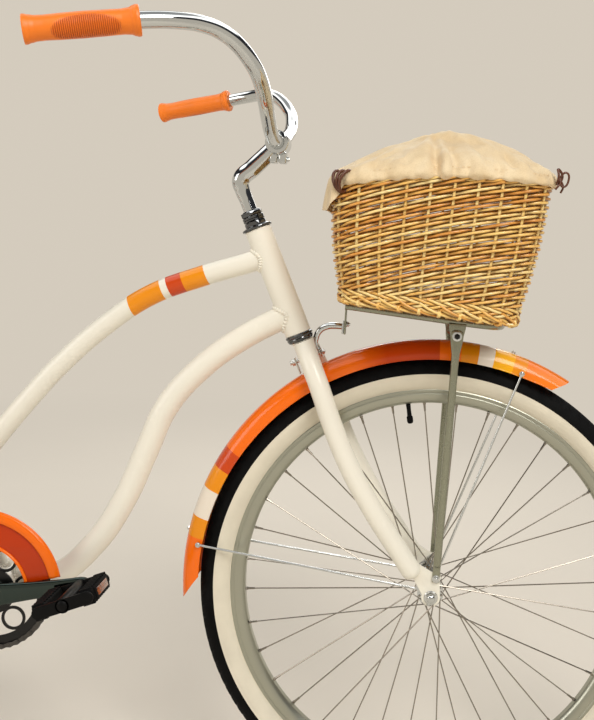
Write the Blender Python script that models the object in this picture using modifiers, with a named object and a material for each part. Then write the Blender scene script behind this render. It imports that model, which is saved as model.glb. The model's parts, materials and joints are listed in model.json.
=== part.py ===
"""Step-through cruiser bicycle with a front basket, built in metres with +Z up.

Travel is along +X, the left side is +Y and the drive side is -Y. Points are given from the centre of the
front hub and moved to the ground frame by at(). Every size is written once and the rest follows from it.
"""
import math
import bpy
import bmesh
from mathutils import Matrix, Quaternion, Vector

# Clearances
GAP = 0.0003
RUNNING = 0.0008

# Wheels
RIM_INNER_RADIUS = 0.295
RIM_DEPTH = 0.0226
RIM_HALF_WIDTH = 0.015
RIM_WALL = 0.0016
TYRE_HEIGHT = 0.0514
TYRE_HALF_WIDTH = 0.027
TREAD_HALF_WIDTH = 0.012
SHOULDER_DROP = 0.009
TYRE_WALL = 0.003
WHEEL_STEPS = 32
SPOKES = 36
SPOKE_RADIUS = 0.0012
VALVE_RADIUS = 0.0037
VALVE_CAP_RADIUS = 0.0048
VALVE_SHOWN = 0.032
VALVE_ANGLE = math.radians(100.4)
AXLE_RADIUS = 0.00475
AXLE_SLOT = 0.0055
FRONT_FLANGE_Y = 0.0345
REAR_FLANGE_Y = 0.030
FRONT_FLANGE_RADIUS = 0.0205
REAR_FLANGE_RADIUS = 0.032
FRONT_DROPOUT_Y = 0.050
REAR_DROPOUT_Y = 0.056
DROPOUT_THICKNESS = 0.005
AXLE_NUT_RADIUS = 0.0107

# Steering axis
HEAD_ANGLE = math.radians(65.15)
FORK_RAKE = 0.0485
CROWN_ROOM = 0.002
CROWN_LENGTH = 0.0355
CROWN_RADIUS = 0.0188
LOWER_STACK = 0.019
HEAD_TUBE_LENGTH = 0.1775
HEAD_TUBE_RADIUS = 0.021
HEAD_TUBE_BORE = 0.0151
STEERER_RADIUS = 0.0127
STEERER_BORE = 0.0114
CROWN_BOLT_RISE = 0.014
CROWN_BOLT_RADIUS = 0.003
HOOK_OFFSET = 0.0034
HOOK_HALF = 0.0018
QUILL_RADIUS = 0.0111
LOWER_CUP_RADIUS = 0.0225
UPPER_FLANGE_RADIUS = 0.0243
UPPER_CUP_RADIUS = 0.0174
UPPER_CUP_HEIGHT = 0.013
CONE_HEIGHT = 0.009
LOCKNUT_HEIGHT = 0.0075
LOCKNUT_ACROSS = 0.032

# Frame tubes
BB_X = -0.6877
BB_DROP = 0.044
BB_SHELL_RADIUS = 0.028
BB_SHELL_HALF = 0.034
BB_BORE = 0.0255
SEAT_ANGLE = math.radians(67.0)
SEAT_TUBE_LENGTH = 0.400
SEAT_TUBE_RADIUS = 0.0159
SEAT_TUBE_BORE = 0.0132
TOP_TUBE_RADIUS = 0.0167
DOWN_TUBE_RADIUS = 0.0195
TOP_TUBE_BELOW = 0.047
DOWN_TUBE_ABOVE = 0.0345
BLADE_RADIUS = 0.0159
BLADE_Y = 0.056
CHAINSTAY_RADIUS = 0.0095
SEATSTAY_RADIUS = 0.0080

# Drive
PITCH = 0.0127
RING_TEETH = 44
COG_TEETH = 18
REAR_ROOM = 0.070
CHAIN_Y = -0.045
ROLLER_RADIUS = 0.0037
TOOTH_THICKNESS = 0.0022
TOOTH_TIP = 0.0036
VALLEY_CLEARANCE = 0.0013
CHAIN_INNER_HALF = 0.0018
PLATE_THICKNESS = 0.0016
PLATE_HALF_HEIGHT = 0.0042
PLATE_WAIST = 0.0029
CRANK_LENGTH = 0.152
CRANK_ANGLE = math.radians(11.0)
SPINDLE_RADIUS = 0.0115
PEDAL_AXLE_RADIUS = 0.0046
CRANK_Y = 0.068
CRANK_THICKNESS = 0.010
PEDAL_LENGTH = 0.100
PEDAL_WIDTH = 0.086
PEDAL_HEIGHT = 0.026
PEDAL_TILT = math.radians(22.0)
PEDAL_INNER_Y = 0.0765
GUARD_Y = -0.0585
GUARD_BACK = 0.0143
GUARD_UP = 0.004
GUARD_RADIUS = 0.130
GUARD_OPENING = 0.071

# Fenders
FENDER_ROOM = 0.027
FENDER_HALF_WIDTH = 0.032
FENDER_DEPTH = 0.0295
FENDER_WALL = 0.0012
FRONT_FENDER_ARC = (math.radians(60.2), math.radians(186.4))
REAR_FENDER_ARC = (math.radians(5.0), math.radians(187.0))
STAY_RADIUS = 0.0019

# Handlebar and stem
BAR_RADIUS = 0.0111
CLAMP_RADIUS = 0.0185
CLAMP_HALF = 0.022
GRIP_LENGTH = 0.141
GRIP_RADIUS = 0.0167
GRIP_FLANGE_RADIUS = 0.020

# Rack and basket
RACK_TUBE_RADIUS = 0.0055
RACK_REAR = (-0.159, 0.4425)
RACK_FRONT = (0.104, 0.4222)
RACK_HALF_WIDTH = 0.068
STRUT_RADIUS = 0.006
STRUT_BOLT_RADIUS = 0.0024
STRUT_TOP = 0.408
LUG_Y = 0.0735
LUG_THICKNESS = 0.003
BASKET_WALL = 0.008
BASKET_CORNER = 0.045
BASKET_TOP_REAR = (-0.185, 0.619)
BASKET_TOP_FRONT = (0.130, 0.637)
BASKET_TOP_HALF = 0.170
BASKET_BOTTOM_HALF = 0.150
LINER_PEAK = 0.085
LINER_WALL = 0.0025

# Seat
POST_RADIUS = 0.0127
POST_LENGTH = 0.300
POST_SHOWN = 0.150
SADDLE_LENGTH = 0.255
SADDLE_HALF_WIDTH = 0.115
SADDLE_HEIGHT = 0.058
SPRING_RADIUS = 0.0165
SPRING_WIRE = 0.0024
SPRING_TURNS = 4
SPRING_X = -0.090
SPRING_Y = 0.062
SADDLE_LIFT = 0.036
SADDLE_NOSE = 0.150

# Side stand
STAND_LEG_RADIUS = 0.0075
STAND_FOOT_Y = 0.165
STAND_FORWARD = 0.022
STAND_AHEAD = 0.100
STAND_PLATE_Y = 0.0760
STAND_Z = -0.026
STAND_PIN_RADIUS = 0.0045

# Colours and finishes: colour, roughness, metallic
CREAM = ((0.86, 0.80, 0.66, 1), 0.25, 0.0)
CHROME = ((0.80, 0.81, 0.82, 1), 0.12, 1.0)
DARK_CHROME = ((0.28, 0.28, 0.29, 1), 0.22, 1.0)
STEEL = ((0.52, 0.52, 0.52, 1), 0.35, 1.0)
SILVER_PAINT = ((0.62, 0.62, 0.60, 1), 0.38, 0.6)
RIM_SILVER = ((0.60, 0.61, 0.59, 1), 0.35, 0.8)
BLACK_STEEL = ((0.03, 0.03, 0.03, 1), 0.35, 0.6)
TYRE_BLACK = ((0.03, 0.03, 0.03, 1), 0.75, 0.0)
ORANGE = ((0.90, 0.26, 0.03, 1), 0.22, 0.0)
ORANGE_RUBBER = ((0.85, 0.30, 0.06, 1), 0.55, 0.0)
BLACK_PLASTIC = ((0.02, 0.02, 0.02, 1), 0.45, 0.0)
WICKER = ((0.66, 0.43, 0.20, 1), 0.60, 0.0)
CANVAS = ((0.78, 0.72, 0.60, 1), 0.85, 0.0)
SADDLE_BROWN = ((0.20, 0.09, 0.04, 1), 0.50, 0.0)

# Heights of crown and locknut at which the points of frame, fork, rack and handlebar were measured,
# and the heights between which a tube's points begin to rise with the crown and rise fully
MEASURED_CROWN = 0.398
MEASURED_LOCKNUT = 0.6595
RISE_FROM = 0.05
RISE_WHOLE = 0.35

# Derived values
RIM_EDGE_RADIUS = RIM_INNER_RADIUS + RIM_DEPTH
TYRE_RADIUS = RIM_EDGE_RADIUS + TYRE_HEIGHT
VALVE_END_RADIUS = RIM_INNER_RADIUS - VALVE_SHOWN
FENDER_RADIUS = TYRE_RADIUS + FENDER_ROOM
FENDER_LIP_RADIUS = FENDER_RADIUS - FENDER_DEPTH
CROWN_BOTTOM = FENDER_RADIUS + CROWN_ROOM
CROWN_TOP = CROWN_BOTTOM + CROWN_LENGTH
CROWN_BOLT_HEIGHT = CROWN_BOTTOM + CROWN_BOLT_RISE
HEAD_TUBE_BOTTOM = CROWN_TOP + LOWER_STACK
HEAD_TUBE_TOP = HEAD_TUBE_BOTTOM + HEAD_TUBE_LENGTH
UPPER_CUP_TOP = HEAD_TUBE_TOP + UPPER_CUP_HEIGHT
CONE_TOP = UPPER_CUP_TOP + CONE_HEIGHT
LOCKNUT_TOP = CONE_TOP + LOCKNUT_HEIGHT
HUB_HEIGHT = TYRE_RADIUS * math.cos(math.pi / WHEEL_STEPS)
STEER_UP = Vector((-math.cos(HEAD_ANGLE), 0, math.sin(HEAD_ANGLE)))
STEER_FORWARD = Vector((math.sin(HEAD_ANGLE), 0, math.cos(HEAD_ANGLE)))
SEAT_UP = Vector((-math.cos(SEAT_ANGLE), 0, math.sin(SEAT_ANGLE)))
LEFT = Vector((0, 1, 0))
UP = Vector((0, 0, 1))
RING_RADIUS = PITCH / (2 * math.sin(math.pi / RING_TEETH))
COG_RADIUS = PITCH / (2 * math.sin(math.pi / COG_TEETH))


def chain_centre_distance(links):
    """Distance between crank and rear axle that takes a chain of that many links."""
    distance = FENDER_RADIUS + REAR_ROOM
    for _ in range(30):
        lean = math.asin((RING_RADIUS - COG_RADIUS) / distance)
        wrap = RING_TEETH * (math.pi + 2 * lean) + COG_TEETH * (math.pi - 2 * lean)
        straight = (links - wrap / (2 * math.pi)) * PITCH / 2
        distance = math.hypot(straight, RING_RADIUS - COG_RADIUS)
    return distance


def chain_links():
    """Smallest even number of links that keeps the rear fender clear of the seat tube."""
    links = 2 * ((RING_TEETH + COG_TEETH) // 2)
    while chain_centre_distance(links) < FENDER_RADIUS + REAR_ROOM:
        links += 2
    return links


CHAIN_LINKS = chain_links()
CENTRE_DISTANCE = chain_centre_distance(CHAIN_LINKS)
REAR_X = BB_X - math.sqrt(CENTRE_DISTANCE ** 2 - BB_DROP ** 2)
MIDDLE_X = (HUB_HEIGHT + REAR_X - FENDER_RADIUS) / 2
STAND_X = REAR_X + STAND_AHEAD
STAND_AXIS = Vector((-0.0695, 1, 0.0695)).normalized()


def at(x, y, z):
    """World point of a point given from the front hub's centre."""
    return Vector((x - MIDDLE_X, y, z + HUB_HEIGHT))


def over_wheel(x, y, z):
    """World point of frame, fork or rack from the front hub's centre, which rises as the crown does."""
    share = min(1.0, max(0.0, (z - RISE_FROM) / (RISE_WHOLE - RISE_FROM)))
    return at(x, y, z) + STEER_UP * (CROWN_BOTTOM - MEASURED_CROWN) * share


def over_headset(x, y, z):
    """World point of stem or handlebar from the front hub's centre, which rises as the locknut does."""
    return at(x, y, z) + STEER_UP * (LOCKNUT_TOP - MEASURED_LOCKNUT)


def on_steerer(height, forward=0.0, side=0.0):
    """World point a height up the steering axis, off it to the front and to the left."""
    spot = STEER_UP * height + STEER_FORWARD * (forward - FORK_RAKE)
    return at(spot.x, side, spot.z)


FRONT_HUB = at(0, 0, 0)
REAR_HUB = at(REAR_X, 0, 0)
CRANK_CENTRE = at(BB_X, 0, -BB_DROP)


# Modelling helpers


def new_collection(name):
    """Collection linked to the scene."""
    group = bpy.data.collections.new(name)
    bpy.context.scene.collection.children.link(group)
    return group


def clear_scene():
    """Remove whatever the scene holds."""
    for item in list(bpy.data.objects):
        bpy.data.objects.remove(item, do_unlink=True)


clear_scene()
PARTS = new_collection("step_through_bicycle")
CUTTERS = new_collection("cutters")


def add_object(name, data):
    """Object in the parts collection."""
    thing = bpy.data.objects.new(name, data)
    PARTS.objects.link(thing)
    return thing


def finish(thing, look, pivot=None):
    """Give a piece its own material and hang it on the empty of its joint."""
    colour, roughness, metallic = look
    surface = bpy.data.materials.new(thing.name)
    surface.use_nodes = True
    shader = surface.node_tree.nodes["Principled BSDF"]
    shader.inputs["Base Color"].default_value = colour
    shader.inputs["Roughness"].default_value = roughness
    shader.inputs["Metallic"].default_value = metallic
    thing.data.materials.clear()
    thing.data.materials.append(surface)
    if pivot is not None:
        thing.parent = pivot
        thing.matrix_parent_inverse = Matrix.Translation(-Vector(pivot["place"]))
    return thing


def joint_empty(name, place, carrier=None):
    """Empty on a joint's axis, under the empty of the body that carries it."""
    pivot = add_object(name, None)
    pivot.location = place
    pivot["place"] = place
    if carrier is not None:
        pivot.parent = carrier
        pivot.matrix_parent_inverse = Matrix.Translation(-Vector(carrier["place"]))
    return pivot


def aim(thing, centre, axis, spin=0.0):
    """Put a piece at centre with its own Z along axis."""
    turn = UP.rotation_difference(Vector(axis).normalized())
    thing.rotation_mode = "QUATERNION"
    thing.rotation_quaternion = turn @ Quaternion(UP, spin)
    thing.location = centre
    thing.matrix_world = Matrix.LocRotScale(thing.location, thing.rotation_quaternion, None)
    return thing


def turned(name, profile, centre, axis, steps=24, spin=0.0):
    """Turned solid: (radius, height) points, down the outer side, closed where no end is on the axis."""
    count = len(profile)
    edges = [(i, i + 1) for i in range(count - 1)]
    if profile[0][0] > 0:
        edges.append((count - 1, 0))
    mesh = bpy.data.meshes.new(name)
    mesh.from_pydata([(radius, 0, height) for radius, height in profile], edges, [])
    thing = add_object(name, mesh)
    screw = thing.modifiers.new("Turn", "SCREW")
    screw.steps = steps
    screw.render_steps = steps
    screw.use_merge_vertices = True
    screw.merge_threshold = 0.00002
    return aim(thing, centre, axis, spin)


def pipe(name, low, high, radius, bore, centre, axis, steps=24):
    """Straight ring or pipe from low to high along axis."""
    profile = [(radius, high), (radius, low), (bore, low), (bore, high)]
    return turned(name, profile, centre, axis, steps)


def rod(name, start, end, radius, sides=12, end_radius=None):
    """Round or many-sided bar between two points, tapered where end_radius is given."""
    run = end - start
    form = bmesh.new()
    bmesh.ops.create_cone(form, cap_ends=True, segments=sides, radius1=radius,
                          radius2=radius if end_radius is None else end_radius, depth=run.length)
    mesh = bpy.data.meshes.new(name)
    form.to_mesh(mesh)
    form.free()
    return aim(add_object(name, mesh), (start + end) / 2, run, math.pi / sides)


def block(name, centre, size, axis=UP, spin=0.0):
    """Box of a size with its own Z along axis."""
    form = bmesh.new()
    bmesh.ops.create_cube(form, size=1.0, matrix=Matrix.Diagonal((*size, 1.0)))
    mesh = bpy.data.meshes.new(name)
    form.to_mesh(mesh)
    form.free()
    return aim(add_object(name, mesh), centre, axis, spin)


def as_mesh(thing):
    """Plain welded mesh in place of a curve or a piece with modifiers."""
    graph = bpy.context.evaluated_depsgraph_get()
    mesh = bpy.data.meshes.new_from_object(thing.evaluated_get(graph))
    form = bmesh.new()
    form.from_mesh(mesh)
    bmesh.ops.remove_doubles(form, verts=form.verts, dist=0.000002)
    bmesh.ops.recalc_face_normals(form, faces=form.faces)
    form.to_mesh(mesh)
    form.free()
    name = thing.name
    place = thing.matrix_world.copy()
    bpy.data.objects.remove(thing, do_unlink=True)
    solid = add_object(name, mesh)
    mesh.name = name
    solid.matrix_world = place
    return solid


def tube(name, points, radius, sides=12, smooth=3, closed=False, swell=None):
    """Round tube along points, eased in smooth steps, straight where smooth is 1, swelling by point."""
    curve = bpy.data.curves.new(name, "CURVE")
    curve.dimensions = "3D"
    curve.bevel_depth = radius
    curve.bevel_resolution = (sides - 4) // 2
    curve.use_fill_caps = not closed
    curve.resolution_u = smooth
    if smooth == 1:
        spline = curve.splines.new("POLY")
        spline.points.add(len(points) - 1)
        for knot, point in zip(spline.points, points):
            knot.co = (*point, 1)
    else:
        spline = curve.splines.new("BEZIER")
        spline.bezier_points.add(len(points) - 1)
        for knot, point in zip(spline.bezier_points, points):
            knot.co = point
            knot.handle_left_type = "AUTO"
            knot.handle_right_type = "AUTO"
    for knot, share in zip(spline.points if smooth == 1 else spline.bezier_points, swell or []):
        knot.radius = share
    spline.use_cyclic_u = closed
    thing = add_object(name, curve)
    bpy.context.view_layer.update()
    return as_mesh(thing)


def side_plate(name, outlines, thickness, place):
    """Flat plate seen from the side: outlines of (x, z) points about place, the first one outermost."""
    curve = bpy.data.curves.new(name, "CURVE")
    curve.dimensions = "2D"
    curve.fill_mode = "BOTH"
    curve.extrude = thickness / 2
    for outline in outlines:
        spline = curve.splines.new("POLY")
        spline.points.add(len(outline) - 1)
        for knot, (x, z) in zip(spline.points, outline):
            knot.co = (x, z, 0, 1)
        spline.use_cyclic_u = True
    thing = add_object(name, curve)
    thing.rotation_euler = (math.pi / 2, 0, 0)
    thing.location = place
    bpy.context.view_layer.update()
    return as_mesh(thing)


def combine(target, other, operation, crossing=False):
    """Boolean with another piece, which becomes a cutter."""
    change = target.modifiers.new(other.name, "BOOLEAN")
    change.operation = operation
    change.solver = "EXACT"
    change.use_self = crossing
    change.object = other
    PARTS.objects.unlink(other)
    CUTTERS.objects.link(other)
    other.hide_render = True
    other.display_type = "WIRE"
    return target


def cut(target, *others):
    """Take pieces away from a target."""
    for other in others:
        combine(target, other, "DIFFERENCE")
    return target


def fuse(target, *others, crossing=False):
    """Join overlapping pieces to a target."""
    for other in others:
        combine(target, other, "UNION", crossing)
    return target


def circle(radius, count, centre=(0, 0), start=0.0):
    """Points of a circle as an outline."""
    step = 2 * math.pi / count
    return [(centre[0] + radius * math.cos(start + i * step), centre[1] + radius * math.sin(start + i * step))
            for i in range(count)]


def polar(radius, angle):
    """Side-view point at an angle from the front."""
    return radius * math.cos(angle), radius * math.sin(angle)


# Frame


def seat_axis(height, side=0.0):
    """Point a height up the seat tube from the crank's centre."""
    return CRANK_CENTRE + SEAT_UP * height + LEFT * side


def bb_cutter(name):
    """Room for the bottom bracket shell."""
    return rod(name, CRANK_CENTRE - LEFT * 0.1, CRANK_CENTRE + LEFT * 0.1, BB_SHELL_RADIUS + GAP, 24)


def seat_tube_cutter(name):
    """Room for the seat tube."""
    return rod(name, seat_axis(-0.1), seat_axis(SEAT_TUBE_LENGTH + 0.1), SEAT_TUBE_RADIUS + GAP, 24)


def head_tube_cutter(name):
    """Room for the head tube."""
    return rod(name, on_steerer(HEAD_TUBE_BOTTOM - 0.03), on_steerer(HEAD_TUBE_TOP + 0.03),
               HEAD_TUBE_RADIUS + GAP, 24)


def build_head_tube():
    """Straight bored tube."""
    tube_ring = pipe("head_tube", HEAD_TUBE_BOTTOM, HEAD_TUBE_TOP, HEAD_TUBE_RADIUS, HEAD_TUBE_BORE,
                     on_steerer(0), STEER_UP)
    finish(tube_ring, CREAM)


def build_main_tubes():
    """Top tube in its S curve and down tube in its long bow, coped to what they are welded to."""
    top_side = [(-0.318, 0.498), (-0.396, 0.470), (-0.475, 0.435), (-0.544, 0.383), (-0.614, 0.314),
                (-0.660, 0.258), (-0.708, 0.194)]
    top_path = [on_steerer(HEAD_TUBE_TOP - TOP_TUBE_BELOW)] + [over_wheel(x, 0, z) for x, z in top_side]
    top_path.append(seat_axis(0.180))
    top = tube("top_tube", top_path, TOP_TUBE_RADIUS, 12, 2)
    cut(top, head_tube_cutter("top_tube_head_cope"), seat_tube_cutter("top_tube_seat_cope"))
    finish(top, CREAM)
    down_side = [(-0.327, 0.374), (-0.388, 0.323), (-0.438, 0.259), (-0.467, 0.185), (-0.499, 0.103),
                 (-0.544, 0.028), (-0.603, -0.026)]
    down_path = [on_steerer(HEAD_TUBE_BOTTOM + DOWN_TUBE_ABOVE)] + [over_wheel(x, 0, z) for x, z in down_side]
    down_path.append(CRANK_CENTRE)
    down = tube("down_tube", down_path, DOWN_TUBE_RADIUS, 12, 2)
    cut(down, head_tube_cutter("down_tube_head_cope"), bb_cutter("down_tube_bb_cope"))
    finish(down, CREAM)


def build_seat_tube():
    """Bored seat tube coped to the bottom bracket shell, with a slot for the clamp at the back."""
    seat = pipe("seat_tube", 0, SEAT_TUBE_LENGTH, SEAT_TUBE_RADIUS, SEAT_TUBE_BORE, CRANK_CENTRE, SEAT_UP)
    slot = block("seat_tube_slot", seat_axis(SEAT_TUBE_LENGTH) - Vector((0.015, 0, 0.006)),
                 (0.024, 0.003, 0.060), SEAT_UP)
    cut(seat, bb_cutter("seat_tube_bb_cope"), slot)
    finish(seat, CREAM)


def build_bb_shell():
    """Bottom bracket shell with its bore."""
    finish(pipe("bb_shell", -BB_SHELL_HALF, BB_SHELL_HALF, BB_SHELL_RADIUS, BB_BORE, CRANK_CENTRE, LEFT), CREAM)


def build_rear_stay(side, name):
    """Chainstay, seatstay and dropout of one side, fused as one welded triangle."""
    end_y = REAR_DROPOUT_Y + DROPOUT_THICKNESS
    chain_path = [CRANK_CENTRE + Vector((-0.004, side * 0.020, 0))]
    span = BB_X - REAR_X
    for back, out in ((0.060, 0.0245), (0.096, 0.0315), (0.135, 0.0435), (0.200, 0.048), (span - 0.1413, 0.0605),
                      (span - 0.0463, end_y)):
        rise = BB_DROP * back / span
        chain_path.append(CRANK_CENTRE + Vector((-back, side * out, rise)))
    stay = tube(name, chain_path, CHAINSTAY_RADIUS, 10, 1)
    top = seat_axis(SEAT_TUBE_LENGTH - 0.032, side * 0.0225)
    foot = REAR_HUB + Vector((0.022, side * end_y, 0.034))
    knee = top.lerp(foot, 0.12)
    knee.y = side * 0.0435
    seatstay = tube(name + "_seatstay", [top, knee, foot], SEATSTAY_RADIUS, 10, 1)
    cut(stay, bb_cutter(name + "_bb_cope"))
    cut(seatstay, seat_tube_cutter(name + "_seat_cope"))
    slot = [polar(AXLE_SLOT, math.radians(90 - 45 * i)) for i in range(5)]
    outline = [(0.056, -0.014), (0.060, 0.004), (0.040, 0.036), (0.026, 0.044), (0.012, 0.036), (-0.012, 0.020),
               (-0.022, 0.009), (-0.022, AXLE_SLOT)] + slot
    outline += [(-0.022, -AXLE_SLOT), (-0.022, -0.010), (-0.010, -0.018), (0.020, -0.020)]
    place = REAR_HUB + LEFT * side * (REAR_DROPOUT_Y + DROPOUT_THICKNESS / 2)
    dropout = side_plate(name + "_dropout", [outline], DROPOUT_THICKNESS, place)
    fuse(stay, seatstay, dropout)
    finish(stay, CREAM)


# Headset and fork


def build_headset():
    """Cups pressed into the head tube, a ring of balls, the adjusting cone and the locknut."""
    base = on_steerer(0)
    reach = STEERER_RADIUS + RUNNING
    skirt = HEAD_TUBE_BORE - GAP
    low = HEAD_TUBE_BOTTOM - GAP
    lower = [(skirt, low + 0.010), (skirt, low), (0.0215, low), (LOWER_CUP_RADIUS, low - 0.003),
             (0.0195, low - 0.0115), (0.0178, low - 0.0115), (0.0178, low - 0.004), (reach, low - 0.003),
             (reach, low + 0.010)]
    finish(turned("headset_lower_cup", lower, base, STEER_UP, 14), DARK_CHROME)
    ball = 0.0016
    centre = low - 0.0068
    ring = [(reach + ball + GAP + ball * math.cos(a), centre + ball * math.sin(a))
            for a in (math.radians(90 - 90 * i) for i in range(4))]
    finish(turned("headset_lower_bearing", ring, base, STEER_UP, 12), STEEL)
    high = HEAD_TUBE_TOP + GAP
    upper = [(UPPER_CUP_RADIUS - 0.0014, UPPER_CUP_TOP - GAP), (UPPER_CUP_RADIUS, UPPER_CUP_TOP - 0.002),
             (UPPER_CUP_RADIUS, high + 0.005), (UPPER_FLANGE_RADIUS, high + 0.0035), (UPPER_FLANGE_RADIUS, high),
             (skirt, high), (skirt, high - 0.010), (reach, high - 0.010), (reach, UPPER_CUP_TOP - GAP)]
    finish(turned("headset_upper_cup", upper, base, STEER_UP, 14), DARK_CHROME)


def build_headset_top(steering):
    """Adjusting cone and locknut, which turn with the fork."""
    base = on_steerer(0)
    reach = STEERER_RADIUS + GAP
    cone = [(0.0150, CONE_TOP), (UPPER_CUP_RADIUS, CONE_TOP - 0.0015), (UPPER_CUP_RADIUS, UPPER_CUP_TOP + 0.002),
            (0.0158, UPPER_CUP_TOP), (reach, UPPER_CUP_TOP), (reach, CONE_TOP)]
    finish(turned("headset_cone", cone, base, STEER_UP, 14), DARK_CHROME, steering)
    radius = LOCKNUT_ACROSS / math.sqrt(3)
    nut = rod("headset_locknut", on_steerer(CONE_TOP + GAP), on_steerer(LOCKNUT_TOP), radius, 6)
    bore = rod("headset_locknut_bore", on_steerer(CONE_TOP - 0.01), on_steerer(LOCKNUT_TOP + 0.01), reach, 24)
    cut(nut, bore)
    finish(nut, DARK_CHROME, steering)


def build_steerer(steering):
    """Steerer tube with the crown lump and the crown race at its foot, cross-drilled for the crown bolt."""
    race = HEAD_TUBE_BOTTOM - GAP - 0.0115 - RUNNING
    profile = [(0, LOCKNUT_TOP - 0.001), (STEERER_RADIUS, LOCKNUT_TOP - 0.001), (STEERER_RADIUS, race),
               (CROWN_RADIUS - 0.001, race), (CROWN_RADIUS, CROWN_TOP), (CROWN_RADIUS, CROWN_BOTTOM + 0.003),
               (CROWN_RADIUS - 0.003, CROWN_BOTTOM), (0, CROWN_BOTTOM)]
    steerer = turned("fork_steerer", profile, on_steerer(0), STEER_UP, 14)
    bore = rod("fork_steerer_bore", on_steerer(CROWN_TOP + 0.006), on_steerer(LOCKNUT_TOP + 0.01),
               STEERER_BORE, 24)
    drill = rod("fork_steerer_drill", on_steerer(CROWN_BOLT_HEIGHT, -0.04), on_steerer(CROWN_BOLT_HEIGHT, 0.04),
                CROWN_BOLT_RADIUS + GAP, 12)
    cut(steerer, bore, drill)
    finish(steerer, CREAM, steering)


def fork_dropout_outline():
    """Side outline of a fork end: blade root, eyelet and open axle slot."""
    eyelet = [(0.006 + 0.0075 * math.cos(a), 0.031 + 0.0075 * math.sin(a))
              for a in (math.radians(angle) for angle in (80, 25, -30))]
    boss = [polar(0.0145, math.radians(angle)) for angle in (15, -25, -62)]
    slot = [(AXLE_SLOT, -0.0130)] + [polar(AXLE_SLOT, math.radians(45 * i)) for i in range(5)]
    slot.append((-AXLE_SLOT, -0.0130))
    back = [polar(0.0145, math.radians(angle)) for angle in (242, 205, 165)]
    return eyelet + boss + slot + back + [(-0.030, 0.030), (-0.036, 0.044), (-0.020, 0.050), (-0.004, 0.041)]


def build_blade(side, name, steering):
    """Fork blade sweeping in to the crown, with its domed end and dropout."""
    path = [(-0.226, 0.012, 0.386), (-0.217, 0.030, 0.366), (-0.206, 0.045, 0.344), (-0.192, 0.0545, 0.315),
            (-0.172, BLADE_Y, 0.266), (-0.141, BLADE_Y, 0.200), (-0.098, BLADE_Y, 0.130),
            (-0.033, BLADE_Y, 0.041)]
    blade = tube(name, [over_wheel(x, side * y, z) for x, y, z in path], BLADE_RADIUS, 12, 1)
    end = at(-0.033, side * BLADE_Y, 0.041)
    run = (at(-0.033, 0, 0.041) - at(-0.057, 0, 0.072)).normalized()
    dome = [(0, 0.0), (0.0105, -0.0030), (BLADE_RADIUS - 0.0004, -0.0130),
            (BLADE_RADIUS - 0.0004, -0.0180), (0, -0.0180)]
    tip = turned(name + "_dome", dome, end + run * 0.0130, run, 12)
    inner = side * (FRONT_DROPOUT_Y + DROPOUT_THICKNESS / 2)
    plate = side_plate(name + "_dropout", [fork_dropout_outline()], DROPOUT_THICKNESS, at(0, inner, 0))
    eyelet = rod(name + "_eyelet", at(0.006, side * 0.04, 0.031), at(0.006, side * 0.07, 0.031),
                 STRUT_BOLT_RADIUS + GAP, 10)
    crown_room = rod(name + "_crown_room", on_steerer(CROWN_BOTTOM - 0.002), on_steerer(CROWN_TOP + 0.03),
                     CROWN_RADIUS + GAP, 24)
    other_half = block(name + "_middle", over_wheel(-0.2, -side * (0.05 - GAP / 2), 0.38), (0.3, 0.1, 0.3))
    above = block(name + "_above", on_steerer(CROWN_TOP + 0.05), (0.2, 0.2, 0.1), STEER_UP)
    fuse(blade, tip, plate)
    cut(blade, crown_room, other_half, above, eyelet)
    finish(blade, CREAM, steering)


def build_crown_bolt(steering):
    """Bolt through the crown with its nut and the tab of the fender behind."""
    axis = STEER_FORWARD
    head = CROWN_RADIUS + HOOK_OFFSET + HOOK_HALF + GAP
    profile = [(0, head + 0.005), (0.0045, head + 0.005), (0.0055, head + 0.002), (0.0055, head),
               (CROWN_BOLT_RADIUS, head), (CROWN_BOLT_RADIUS, -0.030), (0, -0.030)]
    bolt = turned("crown_bolt", profile, on_steerer(CROWN_BOLT_HEIGHT), axis, 8)
    nut = rod("crown_bolt_nut", on_steerer(CROWN_BOLT_HEIGHT, -CROWN_RADIUS - GAP),
              on_steerer(CROWN_BOLT_HEIGHT, -CROWN_RADIUS - 0.007), 0.0065, 6)
    back = FORK_RAKE + CROWN_RADIUS + GAP
    low = math.sqrt((FENDER_RADIUS + GAP) ** 2 - back ** 2)
    high = CROWN_BOLT_HEIGHT + 0.008
    tab = block("crown_bolt_tab", on_steerer((low + high) / 2, -CROWN_RADIUS - GAP - 0.001),
                (0.002, 0.016, high - low), STEER_UP)
    fuse(bolt, nut, tab)
    finish(bolt, CHROME, steering)


def build_rack_hook(steering):
    """Rod hook from the crown bolt up and forward to the tab of the rack."""
    eye_centre = on_steerer(CROWN_BOLT_HEIGHT, CROWN_RADIUS + HOOK_OFFSET)
    eye = pipe("rack_hook", -HOOK_HALF, HOOK_HALF, 0.0085, CROWN_BOLT_RADIUS + GAP, eye_centre, STEER_FORWARD, 16)
    hook_side = [(-0.2012, 0.375), (-0.2040, 0.386), (-0.199, 0.396), (-0.190, 0.4015), (-0.177, 0.4045),
                 (-0.165, 0.4050)]
    path = [eye_centre + STEER_UP * 0.0065] + [over_wheel(x, 0, z) for x, z in hook_side]
    bar = tube("rack_hook_rod", path, 0.0028, 6, 1)
    pad = block("rack_hook_pad", over_wheel(-0.1640, 0, 0.4050), (0.0032, 0.016, 0.022))
    screw = rod("rack_hook_screw", over_wheel(-0.1650, 0, 0.4100), over_wheel(-0.1545, 0, 0.4100), 0.0022, 8)
    fuse(eye, bar, pad, screw)
    finish(eye, CHROME, steering)


# Wheels


def wheel_spin():
    """Turn that puts a flat of the tyre on the ground."""
    return math.pi / WHEEL_STEPS


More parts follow.
